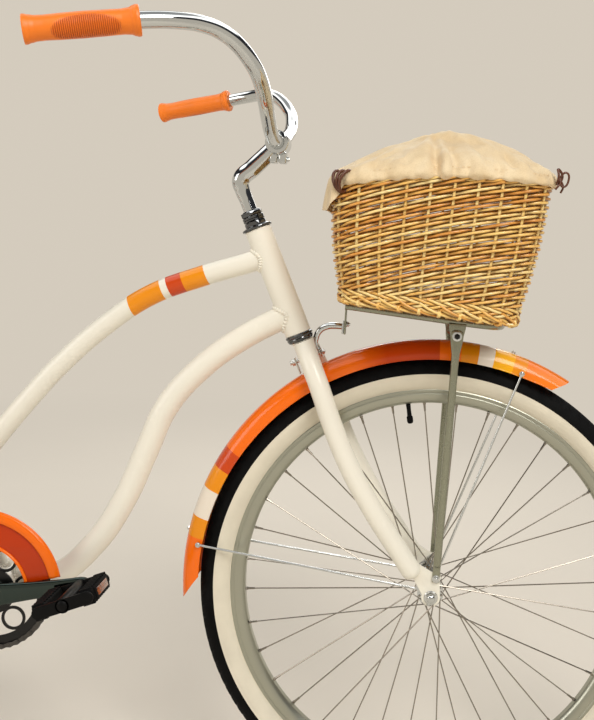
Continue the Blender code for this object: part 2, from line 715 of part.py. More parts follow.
def build_tyre(name, hub, pivot):
    """Open tyre carcass with a flat tread, its beads inside the rim."""
    edge = RIM_EDGE_RADIUS
    bead = RIM_HALF_WIDTH - RIM_WALL - GAP
    outer = [(TYRE_RADIUS, TREAD_HALF_WIDTH), (TYRE_RADIUS - SHOULDER_DROP, 0.0215),
             (edge + 0.0234, TYRE_HALF_WIDTH),
             (edge + GAP, bead), (edge - 0.0071, bead - 0.0030)]
    inner = [(edge - 0.0071, bead - 0.0050), (edge + 0.0224, TYRE_HALF_WIDTH - 2 * TYRE_WALL),
             (TYRE_RADIUS - 3 * TYRE_WALL, TREAD_HALF_WIDTH)]
    half = [(radius, -y) for radius, y in outer] + [(radius, -y) for radius, y in inner]
    other = [(radius, -y) for radius, y in reversed(half)]
    finish(turned(name, half + other, hub, LEFT, WHEEL_STEPS, wheel_spin()), TYRE_BLACK, pivot)


def build_inner_tube(name, hub, pivot):
    """Inner tube with its valve through the rim and the dust cap."""
    middle = RIM_EDGE_RADIUS + 0.017
    ring = [(middle + 0.0115 * math.cos(a), 0.0112 * math.sin(a))
            for a in (math.radians(-90 * i) for i in range(4))]
    tube_ring = turned(name, ring, hub, LEFT, 16)
    way = Vector((math.cos(VALVE_ANGLE), 0, math.sin(VALVE_ANGLE)))
    profile = [(0, -VALVE_END_RADIUS), (0.0030, -VALVE_END_RADIUS), (VALVE_CAP_RADIUS, -VALVE_END_RADIUS - 0.003),
               (VALVE_CAP_RADIUS, -VALVE_END_RADIUS - 0.0115), (VALVE_RADIUS, -VALVE_END_RADIUS - 0.0125),
               (VALVE_RADIUS, -RIM_EDGE_RADIUS - 0.0124), (0, -RIM_EDGE_RADIUS - 0.0124)]
    valve = turned(name + "_valve", profile, hub, -way, 12)
    fuse(tube_ring, valve)
    finish(tube_ring, BLACK_PLASTIC, pivot)


def mirrored(points):
    """The same (radius, height) points for the side at the other sign, in closing order."""
    return [(radius, -height) for radius, height in reversed(points)]


def build_rim(name, hub, pivot):
    """Rim channel with its two flanges and the valve hole."""
    edge = RIM_EDGE_RADIUS
    wide = RIM_HALF_WIDTH
    channel = [(edge, wide), (edge, wide - RIM_WALL), (RIM_INNER_RADIUS + RIM_WALL, 0.0062)]
    outside = [(RIM_INNER_RADIUS, 0.0075), (edge - 0.012, 0.0142)]
    section = channel + mirrored(channel) + mirrored(outside) + outside
    ring = turned(name, section, hub, LEFT, WHEEL_STEPS, wheel_spin())
    way = Vector((math.cos(VALVE_ANGLE), 0, math.sin(VALVE_ANGLE)))
    hole = rod(name + "_valve_hole", hub + way * (RIM_INNER_RADIUS - 0.015), hub + way * (RIM_INNER_RADIUS + 0.015),
               VALVE_RADIUS + GAP, 12)
    cut(ring, hole)
    finish(ring, RIM_SILVER, pivot)


def spoke_ends(hub, flange_y, flange_radius, number):
    """Hub end and rim end of one spoke of the cross-three lacing, counted round the rim."""
    side = -1 if number % 2 else 1
    leading = (number // 2) % 2 == 0
    rim_angle = VALVE_ANGLE + 2 * math.pi * (number + 0.5) / SPOKES
    hub_angle = rim_angle + (1 if leading else -1) * 3 * 4 * math.pi / SPOKES
    apart = 0.0012 if leading else -0.0012
    hole = flange_radius - 0.0032
    start_y = side * (flange_y + apart)
    start = hub + Vector((hole * math.cos(hub_angle), start_y, hole * math.sin(hub_angle)))
    reach = RIM_INNER_RADIUS * math.cos(math.pi / WHEEL_STEPS) - GAP
    end_y = side * (0.0036 + 1.4 * apart)
    end = hub + Vector((reach * math.cos(rim_angle), end_y, reach * math.sin(rim_angle)))
    return start, end


def build_spokes(name, hub, flange_y, flange_radius):
    """All spokes as one mesh, ready to be fused to the hub."""
    form = bmesh.new()
    for number in range(SPOKES):
        start, end = spoke_ends(hub, flange_y, flange_radius, number)
        way = (end - start).normalized()
        matrix = Matrix.LocRotScale((start + end) / 2, UP.rotation_difference(way), None)
        bmesh.ops.create_cone(form, cap_ends=True, segments=3, radius1=SPOKE_RADIUS, radius2=SPOKE_RADIUS,
                              depth=(end - start).length, matrix=matrix)
    mesh = bpy.data.meshes.new(name)
    form.to_mesh(mesh)
    form.free()
    return add_object(name, mesh)


def build_front_hub(pivot):
    """Front hub shell with both flanges, laced with 36 spokes."""
    bore = AXLE_RADIUS + RUNNING
    half = [(FRONT_FLANGE_RADIUS, FRONT_FLANGE_Y - 0.0016), (0.0105, FRONT_FLANGE_Y - 0.006)]
    side = [(0.0088, 0.0462), (0.0125, FRONT_FLANGE_Y + 0.0045), (0.0130, FRONT_FLANGE_Y + 0.0016),
            (FRONT_FLANGE_RADIUS, FRONT_FLANGE_Y + 0.0016)] + half
    section = [(bore, 0.0462)] + side + mirrored(side) + [(bore, -0.0462)]
    hub = turned("front_hub_spokes", section, FRONT_HUB, LEFT, 14)
    spokes = build_spokes("front_hub_spoke_set", FRONT_HUB, FRONT_FLANGE_Y, FRONT_FLANGE_RADIUS)
    fuse(hub, spokes, crossing=True)
    finish(hub, STEEL, pivot)


def build_rear_hub(pivot):
    """Coaster hub shell laced with 36 spokes, open at the right for the driver."""
    bore = AXLE_RADIUS + RUNNING
    outer = REAR_FLANGE_Y + 0.0018
    inner = REAR_FLANGE_Y - 0.0018
    left = [(0.0210, 0.0470), (0.0245, 0.0440), (0.0245, outer), (REAR_FLANGE_RADIUS, outer),
            (REAR_FLANGE_RADIUS, inner), (0.0220, inner - 0.004)]
    right = [(0.0220, -inner + 0.004), (REAR_FLANGE_RADIUS, -inner), (REAR_FLANGE_RADIUS, -outer),
             (0.0235, -outer), (0.0225, -0.0385)]
    section = [(bore, 0.0470)] + left + right + [(bore, -0.0385)]
    hub = turned("rear_hub_spokes", section, REAR_HUB, LEFT, 14)
    spokes = build_spokes("rear_hub_spoke_set", REAR_HUB, REAR_FLANGE_Y, REAR_FLANGE_RADIUS)
    fuse(hub, spokes, crossing=True)
    finish(hub, STEEL, pivot)


def axle_end(dropout_y, first_y, locknut_radius):
    """Locknut inside the dropout and domed flange nut outside it, from the middle outwards."""
    inside = dropout_y - GAP
    outside = dropout_y + DROPOUT_THICKNESS + GAP
    return [(locknut_radius, first_y), (locknut_radius, inside), (AXLE_RADIUS, inside), (AXLE_RADIUS, outside),
            (AXLE_NUT_RADIUS, outside), (AXLE_NUT_RADIUS, outside + 0.0018), (0.0086, outside + 0.0022),
            (0.0086, outside + 0.0072), (0.0, outside + 0.0100)]


def build_axle(name, hub, dropout_y, first_left, first_right, pivot):
    """Axle with its locknuts and outer nuts as one turned piece."""
    left = axle_end(dropout_y, first_left, 0.0082)
    right = axle_end(dropout_y, first_right, 0.0082)
    section = left[::-1] + [(AXLE_RADIUS, first_left)] + [(AXLE_RADIUS, -first_right)] + mirrored(right[::-1])
    finish(turned(name, section, hub, LEFT, 10), CHROME, pivot)


def build_wheel(prefix, hub, pivot):
    """Tyre, inner tube and rim of one wheel."""
    build_tyre(prefix + "_tyre", hub, pivot)
    build_inner_tube(prefix + "_inner_tube", hub, pivot)
    build_rim(prefix + "_rim", hub, pivot)


def build_brake_arm():
    """Coaster brake arm from the rear hub along the left chainstay, with its strap."""
    y = 0.0484
    arm = [polar(0.0185, math.radians(angle)) for angle in (60, 95, 130, 165, 200, 235, 270)]
    arm += [(0.060, -0.026), (0.150, -0.022), (0.1525, -0.0165), (0.150, -0.011), (0.060, -0.010)]
    plate = side_plate("brake_arm", [arm, circle(AXLE_RADIUS + RUNNING, 12)], 0.0020, REAR_HUB + LEFT * y)
    finish(plate, CHROME)


# Drive


def sprocket_outline(teeth, pitch_radius, phase):
    """Teeth with round valleys for the rollers, one valley centred on phase."""
    outline = []
    seat = ROLLER_RADIUS + VALLEY_CLEARANCE
    for tooth in range(teeth):
        angle = phase + 2 * math.pi * tooth / teeth
        x, z = polar(pitch_radius, angle)
        for bend in (-105, 180, 105):
            lean = angle + math.radians(bend)
            outline.append((x + seat * math.cos(lean), z + seat * math.sin(lean)))
        crest = angle + math.pi / teeth
        outline.append(polar(pitch_radius + TOOTH_TIP, crest))
    return outline


def lerp(start, end, share):
    """Point a share of the way between two side-view points."""
    return start[0] + (end[0] - start[0]) * share, start[1] + (end[1] - start[1]) * share


def on_cog(offset, angle):
    """Side-view point on the cog's circle, from the crank."""
    x, z = polar(COG_RADIUS + offset, angle)
    return x + REAR_X - BB_X, z + BB_DROP


def chain_point(distance, offset=0.0):
    """Point of the chain's pitch line from the crank, moved outwards by offset."""
    along = distance % (CHAIN_LINKS * PITCH)
    if along < RING_ARC:
        return polar(RING_RADIUS + offset, CHAIN_LOW + along * 2 * math.pi / (RING_TEETH * PITCH))
    along -= RING_ARC
    if along < CHAIN_RUN:
        return lerp(polar(RING_RADIUS + offset, CHAIN_HIGH), on_cog(offset, CHAIN_HIGH), along / CHAIN_RUN)
    along -= CHAIN_RUN
    if along < COG_ARC:
        return on_cog(offset, CHAIN_HIGH + along * 2 * math.pi / (COG_TEETH * PITCH))
    return lerp(on_cog(offset, CHAIN_LOW), polar(RING_RADIUS + offset, CHAIN_LOW), (along - COG_ARC) / CHAIN_RUN)


CHAIN_LEAN = math.asin((RING_RADIUS - COG_RADIUS) / CENTRE_DISTANCE)
CHAIN_RUN = CENTRE_DISTANCE * math.cos(CHAIN_LEAN)
CHAIN_AXIS = math.atan2(BB_DROP, REAR_X - BB_X)
CHAIN_LOW = CHAIN_AXIS + math.pi / 2 - CHAIN_LEAN
CHAIN_HIGH = CHAIN_AXIS - math.pi / 2 + CHAIN_LEAN
RING_ARC = (math.pi + 2 * CHAIN_LEAN) * RING_TEETH * PITCH / (2 * math.pi)
COG_ARC = (math.pi - 2 * CHAIN_LEAN) * COG_TEETH * PITCH / (2 * math.pi)
FIRST_COG_PIN = math.ceil((RING_ARC + CHAIN_RUN) / PITCH) * PITCH - RING_ARC - CHAIN_RUN
COG_PHASE = CHAIN_HIGH + FIRST_COG_PIN * 2 * math.pi / (COG_TEETH * PITCH)


def chain_stations():
    """Distances with an outline point: pins and waists on the chainring, pins on the cog and run ends."""
    stations = []
    for half in range(2 * CHAIN_LINKS):
        along = half * PITCH / 2
        pin = half % 2 == 0
        past_ring = along - RING_ARC
        past_top = past_ring - CHAIN_RUN
        on_ring = past_ring < PITCH
        near_cog = -PITCH < past_top < COG_ARC + PITCH
        last = along > (CHAIN_LINKS - 1.5) * PITCH
        if on_ring or (pin and (near_cog or last)):
            stations.append((along, PLATE_HALF_HEIGHT if pin else PLATE_WAIST))
    return stations


def roller_stations():
    """Distances of the rollers that are modelled: every second on a sprocket, fewer on the free runs."""
    stations = []
    for link in range(0, CHAIN_LINKS, 2):
        past_ring = link * PITCH - RING_ARC
        past_top = past_ring - CHAIN_RUN
        if past_ring < 0 or 0 < past_top < COG_ARC or link % 6 == 0:
            stations.append(link * PITCH)
    return stations


def build_chain():
    """Two rows of plates round the sprockets, joined by rollers."""
    stations = chain_stations()
    outer = [chain_point(along, height) for along, height in stations]
    inner = [chain_point(along, -height) for along, height in stations if height == PLATE_HALF_HEIGHT]
    rows = []
    for side in (-1, 1):
        y = CHAIN_Y + side * (CHAIN_INNER_HALF + PLATE_THICKNESS / 2)
        place = CRANK_CENTRE + LEFT * y
        rows.append(side_plate("chain" if side < 0 else "chain_inner_row", [outer, inner], PLATE_THICKNESS, place))
    form = bmesh.new()
    for along in roller_stations():
        x, z = chain_point(along)
        centre = CRANK_CENTRE + Vector((x, CHAIN_Y, z))
        matrix = Matrix.LocRotScale(centre, UP.rotation_difference(LEFT), None)
        bmesh.ops.create_cone(form, cap_ends=True, segments=3, radius1=ROLLER_RADIUS, radius2=ROLLER_RADIUS,
                              depth=2 * CHAIN_INNER_HALF + PLATE_THICKNESS, matrix=matrix)
    mesh = bpy.data.meshes.new("chain_rollers")
    form.to_mesh(mesh)
    form.free()
    rollers = add_object("chain_rollers", mesh)
    fuse(rows[0], rollers, rows[1])
    finish(rows[0], BLACK_STEEL)


def window(start, count):
    """Cut-out of the chainring between two curved arms."""
    width = 2 * math.pi / count
    inner = 0.030
    outer = RING_RADIUS - 0.023
    sweep = math.radians(20)
    outline = [polar(outer, start + sweep + width * share) for share in (0.02, 0.2, 0.4, 0.6, 0.78)]
    outline += [polar(outer - 0.012, start + sweep * 0.7 + width * 0.80),
                polar((inner + outer) / 2, start + sweep * 0.25 + width * 0.80),
                polar(inner, start + width * 0.72)]
    outline += [polar(inner, start + width * 0.38),
                polar((inner + outer) / 2, start + sweep * 0.25 + width * 0.10),
                polar(outer - 0.012, start + sweep * 0.7 + width * 0.04)]
    return outline


def build_chainring(crank):
    """Toothed chainring with curved arms between its cut-outs."""
    outlines = [sprocket_outline(RING_TEETH, RING_RADIUS, CHAIN_LOW), circle(SPINDLE_RADIUS + GAP, 20)]
    arms = 5
    outlines += [window(2 * math.pi * i / arms, arms) for i in range(arms)]
    ring = side_plate("chainring", outlines, TOOTH_THICKNESS, CRANK_CENTRE + LEFT * CHAIN_Y)
    finish(ring, BLACK_STEEL, crank)


def build_cog(pivot):
    """Cog on the driver of the coaster hub."""
    outlines = [sprocket_outline(COG_TEETH, COG_RADIUS, COG_PHASE), circle(0.012, 12)]
    cog = side_plate("rear_cog", outlines, TOOTH_THICKNESS, REAR_HUB + LEFT * CHAIN_Y)
    bore = AXLE_RADIUS + RUNNING
    section = [(0.0150, -0.0392), (0.0205, -0.0410), (0.0205, -0.0500), (0.0110, -0.0508), (bore, -0.0508),
               (bore, -0.0392)]
    fuse(cog, turned("rear_cog_driver", section, REAR_HUB, LEFT, 12))
    finish(cog, STEEL, pivot)


def arm_outline(angle):
    """Tapered crank arm from the crank's centre out at an angle, round at both ends."""
    tip = polar(CRANK_LENGTH, angle)
    big = [polar(0.0185, angle + math.radians(90 + 22.5 * i)) for i in range(9)]
    small = [polar(0.0130, angle + math.radians(-90 + 30 * i)) for i in range(7)]
    return big + [(x + tip[0], z + tip[1]) for x, z in small]


def pedal_centre(side):
    """Axis point of a pedal in the middle plane of the bicycle, right for side -1."""
    angle = CRANK_ANGLE if side < 0 else CRANK_ANGLE + math.pi
    x, z = polar(CRANK_LENGTH, angle)
    return CRANK_CENTRE + Vector((x, 0, z))


def build_crank(crank):
    """One-piece crank: spindle with its drive flange, both arms and the pedal axles."""
    inner = CRANK_Y - CRANK_THICKNESS / 2
    seat = -CHAIN_Y + TOOTH_THICKNESS / 2 + GAP
    section = [(0, inner + 0.003), (SPINDLE_RADIUS, inner + 0.003), (SPINDLE_RADIUS, -seat), (0.021, -seat),
               (0.021, -seat - 0.004), (SPINDLE_RADIUS + 0.003, -seat - 0.0055),
               (SPINDLE_RADIUS + 0.003, -inner - 0.003), (0, -inner - 0.003)]
    body = turned("crank", section, CRANK_CENTRE, LEFT, 16)
    extras = []
    for side, label in ((-1, "right"), (1, "left")):
        angle = CRANK_ANGLE if side < 0 else CRANK_ANGLE + math.pi
        extras.append(side_plate("crank_arm_" + label, [arm_outline(angle)], CRANK_THICKNESS,
                                 CRANK_CENTRE + LEFT * side * CRANK_Y))
        centre = pedal_centre(side)
        extras.append(rod("pedal_axle_" + label, centre + LEFT * side * CRANK_Y,
                          centre + LEFT * side * (PEDAL_INNER_Y + PEDAL_WIDTH - 0.004), PEDAL_AXLE_RADIUS, 12))
    fuse(body, *extras)
    finish(body, CHROME, crank)


def build_bb_bearing(side, name):
    """Pressed cup with its cone round the spindle."""
    reach = SPINDLE_RADIUS + RUNNING
    section = [(0.0170, BB_SHELL_HALF + 0.0060), (0.0215, BB_SHELL_HALF + 0.0060),
               (0.0275, BB_SHELL_HALF + 0.0028), (0.0275, BB_SHELL_HALF + GAP),
               (BB_BORE - GAP, BB_SHELL_HALF + GAP), (BB_BORE - GAP, BB_SHELL_HALF - 0.011),
               (reach, BB_SHELL_HALF - 0.011), (reach, BB_SHELL_HALF + 0.0060)]
    finish(turned(name, section, CRANK_CENTRE, LEFT * side, 14), DARK_CHROME)


def build_pedal(side, name, pivot):
    """Block pedal: bored barrel between two tread bars, closed by end plates."""
    centre = pedal_centre(side)
    up = Vector((-math.sin(PEDAL_TILT), 0, math.cos(PEDAL_TILT)))
    along = Vector((math.cos(PEDAL_TILT), 0, math.sin(PEDAL_TILT)))
    middle = side * (PEDAL_INNER_Y + PEDAL_WIDTH / 2)
    barrel = rod(name, centre + LEFT * side * PEDAL_INNER_Y, centre + LEFT * side * (PEDAL_INNER_Y + PEDAL_WIDTH),
                 0.0115, 16)
    tread = 0.022
    extras = []
    for sign, label in ((1, "front"), (-1, "back")):
        spot = centre + LEFT * middle + along * sign * (PEDAL_LENGTH - tread) / 2
        bar = block(name + "_tread_" + label, spot, (tread, PEDAL_WIDTH, PEDAL_HEIGHT), up)
        bevel = bar.modifiers.new("Round", "BEVEL")
        bevel.width = 0.004
        bevel.segments = 1
        extras.append(bar)
    for y, label in ((PEDAL_INNER_Y + 0.0025, "inner"), (PEDAL_INNER_Y + PEDAL_WIDTH - 0.0025, "outer")):
        extras.append(block(name + "_plate_" + label, centre + LEFT * side * y,
                            (PEDAL_LENGTH - 0.012, 0.005, PEDAL_HEIGHT - 0.006), up))
    bore = rod(name + "_bore", centre + LEFT * side * (PEDAL_INNER_Y - 0.01),
               centre + LEFT * side * (PEDAL_INNER_Y + PEDAL_WIDTH - 0.003), PEDAL_AXLE_RADIUS + RUNNING, 12)
    fuse(barrel, *extras)
    cut(barrel, bore)
    finish(barrel, BLACK_PLASTIC, pivot)


def build_chain_guard():
    """Guard over the chainring and the upper run, with its rolled edge and two brackets."""
    centre = CRANK_CENTRE + Vector((-GUARD_BACK, 0, GUARD_UP))
    stay_top = CHAINSTAY_RADIUS + GAP - GUARD_UP
    tab_x = -0.278
    slope = BB_DROP / (BB_X - REAR_X)
    back = GUARD_BACK - tab_x
    tab = [(tab_x + step, stay_top + slope * (back - step) + 0.0002) for step in (-0.008, 0.008)]
    outline = [polar(GUARD_RADIUS, math.radians(angle)) for angle in (14, 28, 42, 56, 70, 84, 98)]
    outline += [(-0.080, 0.1215), (-0.318, 0.0990), (-0.330, 0.0930), (-0.334, 0.0800), (-0.328, 0.0680)]
    outline += [(tab_x - 0.008, 0.0630)] + tab + [(tab_x + 0.008, 0.0620)]
    outline += [(-0.110, 0.0540), (-0.080, 0.0450)]
    outline += [polar(GUARD_OPENING, math.radians(angle)) for angle in (140, 119, 98, 77, 56, 35, 14)]
    plate = side_plate("chain_guard", [outline], 0.0016, centre + LEFT * GUARD_Y)
    edge = [centre + Vector((x, GUARD_Y, z)) for x, z in
            [polar(GUARD_RADIUS - 0.003, math.radians(angle)) for angle in (14.5, 28, 42, 56, 70, 84, 98)]
            + [(-0.080, 0.1185), (-0.200, 0.1072), (-0.315, 0.0960)]]
    roll = tube("chain_guard_edge", edge, 0.0032, 6, 1)
    root = seat_axis(0.122, (GUARD_Y - 0.010) / 2)
    bracket = block("chain_guard_bracket", root, (0.012, -GUARD_Y - 0.010, 0.0025))
    cut(bracket, seat_tube_cutter("chain_guard_bracket_cope"))
    fuse(plate, roll, bracket)
    finish(plate, ORANGE)


# Fenders


def arc_shell(name, profile, wall, hub, arc, steps):
    """Thin shell turned round the hub's axis over an arc, thickened inwards."""
    count = len(profile)
    mesh = bpy.data.meshes.new(name)
    mesh.from_pydata([(radius, 0, height) for radius, height in profile],
                     [(i, i + 1) for i in range(count - 1)], [])
    thing = add_object(name, mesh)
    screw = thing.modifiers.new("Turn", "SCREW")
    screw.steps = steps
    screw.render_steps = steps
    screw.angle = arc[1] - arc[0]
    thicken = thing.modifiers.new("Wall", "SOLIDIFY")
    thicken.thickness = wall
    thicken.offset = -1
    thicken.use_even_offset = True
    return aim(thing, hub, LEFT, -arc[1])


def build_fender(name, hub, arc, steps, pivot=None):
    """Fender with a full crown and nearly straight sides."""
    top = FENDER_RADIUS
    wide = FENDER_HALF_WIDTH
    half = [(FENDER_LIP_RADIUS, wide), (top - 0.0125, wide - 0.0030), (top - 0.0028, wide - 0.0150)]
    shell = arc_shell(name, half + [(top, 0)] + mirrored(half), FENDER_WALL, hub, arc, steps)
    finish(shell, ORANGE, pivot)


def build_fender_stay(name, hub, side, tab_y, rod_y, tab_outline, root, ends, holes, pivot=None):
    """V of two rods from a tab at the dropout out to the fender's lip."""
    outlines = [tab_outline] + [circle(radius, 10, spot) for radius, spot in holes]
    tab = side_plate(name, outlines, 0.0024, hub + LEFT * side * tab_y)
    lip_y = FENDER_HALF_WIDTH + STAY_RADIUS + GAP
    for number, angle in enumerate(ends):
        x, z = polar(FENDER_LIP_RADIUS + 0.010, math.radians(angle))
        reach = polar(FENDER_LIP_RADIUS - 0.012, math.radians(angle))
        start = hub + Vector((root[number][0], side * rod_y, root[number][1]))
        knee = hub + Vector((reach[0], side * lip_y, reach[1]))
        end = hub + Vector((x, side * lip_y, z))
        fuse(tab, tube(name + "_rod_" + str(number), [start, knee, end], STAY_RADIUS, 6, 1))
    finish(tab, CHROME, pivot)


def build_fender_stays(steering):
    """Stays of both fenders on both sides."""
    front_tab = [(-0.025, 0.012), (-0.017, 0.004), (-0.0105, 0.0100), (0.0, 0.0125), (0.011, 0.026),
                 (0.012, 0.036), (0.004, 0.039), (-0.010, 0.026)]
    rear_tab = [(-0.022, 0.009), (-0.010, 0.0125), (0.002, 0.020), (0.003, 0.031), (-0.010, 0.033),
                (-0.026, 0.020)]
    bolt = [(STRUT_BOLT_RADIUS + GAP, (0.006, 0.031))]
    front_y = FRONT_DROPOUT_Y - GAP - 0.0012
    rear_y = REAR_DROPOUT_Y + DROPOUT_THICKNESS + GAP + 0.0012
    for side, label in ((-1, "right"), (1, "left")):
        build_fender_stay("front_fender_stay_" + label, FRONT_HUB, side, front_y, front_y - 0.0010, front_tab,
                          [(0.007, 0.036), (-0.018, 0.0095)], (71.5, 172.3), bolt, steering)
        build_fender_stay("rear_fender_stay_" + label, REAR_HUB, side, rear_y, rear_y + 0.0010, rear_tab,
                          [(-0.006, 0.028), (-0.020, 0.0155)], (118.0, 171.0), [])


# Handlebar and stem


def build_stem(steering):
    """Quill stem: shank, swept neck and a split clamp with its bolt below."""
    clamp = over_headset(-0.284, 0, 0.688)
    path = [on_steerer(LOCKNUT_TOP + rise) for rise in (-0.0845, -0.0195, 0.0185, 0.0375)]
    path += [over_headset(x, 0, z) for x, z in ((-0.3400, 0.6275), (-0.3220, 0.6470), (-0.3030, 0.6670))]
    path.append(clamp)
    stem = tube("stem", path, QUILL_RADIUS, 12, 2, False, [1, 1, 1, 1.08, 1.30, 1.32, 1.30, 1.28])
    barrel = rod("stem_clamp", clamp - LEFT * CLAMP_HALF, clamp + LEFT * CLAMP_HALF, CLAMP_RADIUS, 20)
    lug_place = clamp + Vector((0.002, 0, -0.0235))
    lug = block("stem_lug", lug_place, (0.026, 0.024, 0.019))
    bolt = rod("stem_clamp_bolt", lug_place + Vector((-0.016, 0, -0.002)), lug_place + Vector((0.017, 0, -0.002)),
               0.0038, 6)
    slot = block("stem_slot", lug_place + Vector((0, 0, 0.004)), (0.0018, 0.06, 0.031))
    bore = rod("stem_clamp_bore", clamp - LEFT * 0.04, clamp + LEFT * 0.04, BAR_RADIUS + GAP, 24)
    fuse(stem, barrel, lug)
    cut(stem, bore, slot)
    fuse(stem, bolt)
    finish(stem, CHROME, steering)


def bar_path():
    """Centreline of the left half of the handlebar, from the clamp to the bar's end."""
    return [(0.0, -0.284, 0.688), (0.035, -0.284, 0.688), (0.060, -0.286, 0.6915), (0.122, -0.286, 0.712),
            (0.160, -0.285, 0.727), (0.195, -0.288, 0.749), (0.222, -0.296, 0.7675), (0.246, -0.3145, 0.789),
            (0.262, -0.332, 0.800), (0.282, -0.355, 0.805), (0.304, -0.383, 0.803), (0.3225, -0.4220, 0.7970),
            (0.3550, -0.5530, 0.7713)]


def build_handlebar(steering):
    """Swept cruiser bar, one bent tube."""
    left = [over_headset(x, y, z) for y, x, z in bar_path()]
    right = [over_headset(x, -y, z) for y, x, z in bar_path()[:0:-1]]
    finish(tube("handlebar", right + left, BAR_RADIUS, 10, 1), CHROME, steering)


def build_grip(side, name, steering):
    """Rubber grip with a flared flange at each end and a swelling body."""
    (y0, x0, z0), (y1, x1, z1) = bar_path()[-2:]
    inner = over_headset(x0, side * y0, z0)
    outer = over_headset(x1, side * y1, z1)
    run = (outer - inner).normalized()
    length = GRIP_LENGTH
    bore = BAR_RADIUS + RUNNING
    body = GRIP_RADIUS
    flange = GRIP_FLANGE_RADIUS
    section = [(0, length), (0.0120, length), (0.0150, length - 0.002), (0.0152, length - 0.009),
               (flange, length - 0.0125), (flange, length - 0.0160), (0.0150, length - 0.0200),
               (body, length * 0.5), (0.0148, 0.014), (flange, 0.0045), (flange, 0.0), (bore, 0.0),
               (bore, length - 0.004), (0, length - 0.004)]
    finish(turned(name, section, inner + run * 0.002, run, 12), ORANGE_RUBBER, steering)


# Rack and basket


def rack_height(x):
    """Height of the rack's tube over the hub at a place along it."""
    (x0, z0), (x1, z1) = RACK_REAR, RACK_FRONT
    return z0 + (z1 - z0) * (x - x0) / (x1 - x0)


def rack_point(x, y, lift=0.0):
    """World point on the rack's plane."""
    return over_wheel(x, y, rack_height(x) + lift)


def build_rack(steering):
    """Rack: tube loop round at the front, cross tubes, the strip to the hook and two strut lugs."""
    half = RACK_HALF_WIDTH
    rear, front = RACK_REAR[0], RACK_FRONT[0]
    outline = [(rear, half), (rear + 0.08, half), (front - 0.070, half), (front - 0.035, half - 0.005),
               (front - 0.010, half - 0.026), (front, 0)]
    path = [rack_point(x, y) for x, y in outline] + [rack_point(x, -y) for x, y in outline[-2::-1]]
    rack = tube("front_rack", path, RACK_TUBE_RADIUS, 8, 1)
    extras = []
    for number, x in enumerate((rear + 0.004, -0.080, 0.0)):
        extras.append(rod("front_rack_cross_" + str(number), rack_point(x, -half), rack_point(x, half),
                          RACK_TUBE_RADIUS - 0.001, 8))
    strip_top = rack_height(rear)
    strip_middle = over_wheel(-0.1606, 0, (strip_top + 0.394) / 2)
    strip = block("front_rack_strip", strip_middle, (0.003, 0.022, strip_top - 0.394))
    drill = rod("front_rack_drill", over_wheel(-0.17, 0, 0.410), over_wheel(-0.15, 0, 0.410), 0.0022 + GAP, 8)
    for side in (-1, 1):
        middle = over_wheel(0.012, side * LUG_Y, rack_height(0.012) - 0.013)
        lug = block("front_rack_lug_" + str(side + 1), middle, (0.016, LUG_THICKNESS, 0.028))
        lug_drill = rod("front_rack_lug_drill_" + str(side + 1), over_wheel(0.012, side * 0.05, STRUT_TOP),
                        over_wheel(0.012, side * 0.09, STRUT_TOP), STRUT_BOLT_RADIUS + GAP, 8)
        extras.append(cut(lug, lug_drill))
    fuse(rack, cut(strip, drill), *extras)
    finish(rack, SILVER_PAINT, steering)


def build_strut(side, name, steering):
    """Strut from the rack's lug to the fork end: tube with flattened ends and both bolts."""
    top_y = LUG_Y + LUG_THICKNESS / 2 + GAP + 0.0015
    foot_y = FRONT_DROPOUT_Y + DROPOUT_THICKNESS + GAP + 0.0015
    top = over_wheel(0.012, side * top_y, STRUT_TOP)
    foot = at(0.006, side * foot_y, 0.031)
    run = (top - foot).normalized()
    flat = Vector((run.x, 0, run.z)).normalized()
    bar = rod(name, foot + run * 0.019, top - run * 0.014, STRUT_RADIUS, 10)
    ends = [block(name + "_top_end", top - flat * 0.006, (0.014, 0.003, 0.030), flat),
            block(name + "_foot_end", foot + flat * 0.007, (0.014, 0.003, 0.032), flat)]
    bolts = [rod(name + "_top_bolt", over_wheel(0.012, side * (LUG_Y - 0.004), STRUT_TOP),
                 over_wheel(0.012, side * (top_y + 0.003), STRUT_TOP), STRUT_BOLT_RADIUS, 8),
             rod(name + "_top_head", over_wheel(0.012, side * (top_y + 0.0012), STRUT_TOP),
                 over_wheel(0.012, side * (top_y + 0.0055), STRUT_TOP), 0.0046, 6),
             rod(name + "_foot_bolt", at(0.006, side * (FRONT_DROPOUT_Y - 0.0042), 0.031),
                 at(0.006, side * (foot_y + 0.003), 0.031), STRUT_BOLT_RADIUS, 8),
             rod(name + "_foot_head", at(0.006, side * (foot_y + 0.0012), 0.031),
                 at(0.006, side * (foot_y + 0.0055), 0.031), 0.0046, 6)]
    fuse(bar, *ends, *bolts)
    finish(bar, SILVER_PAINT, steering)


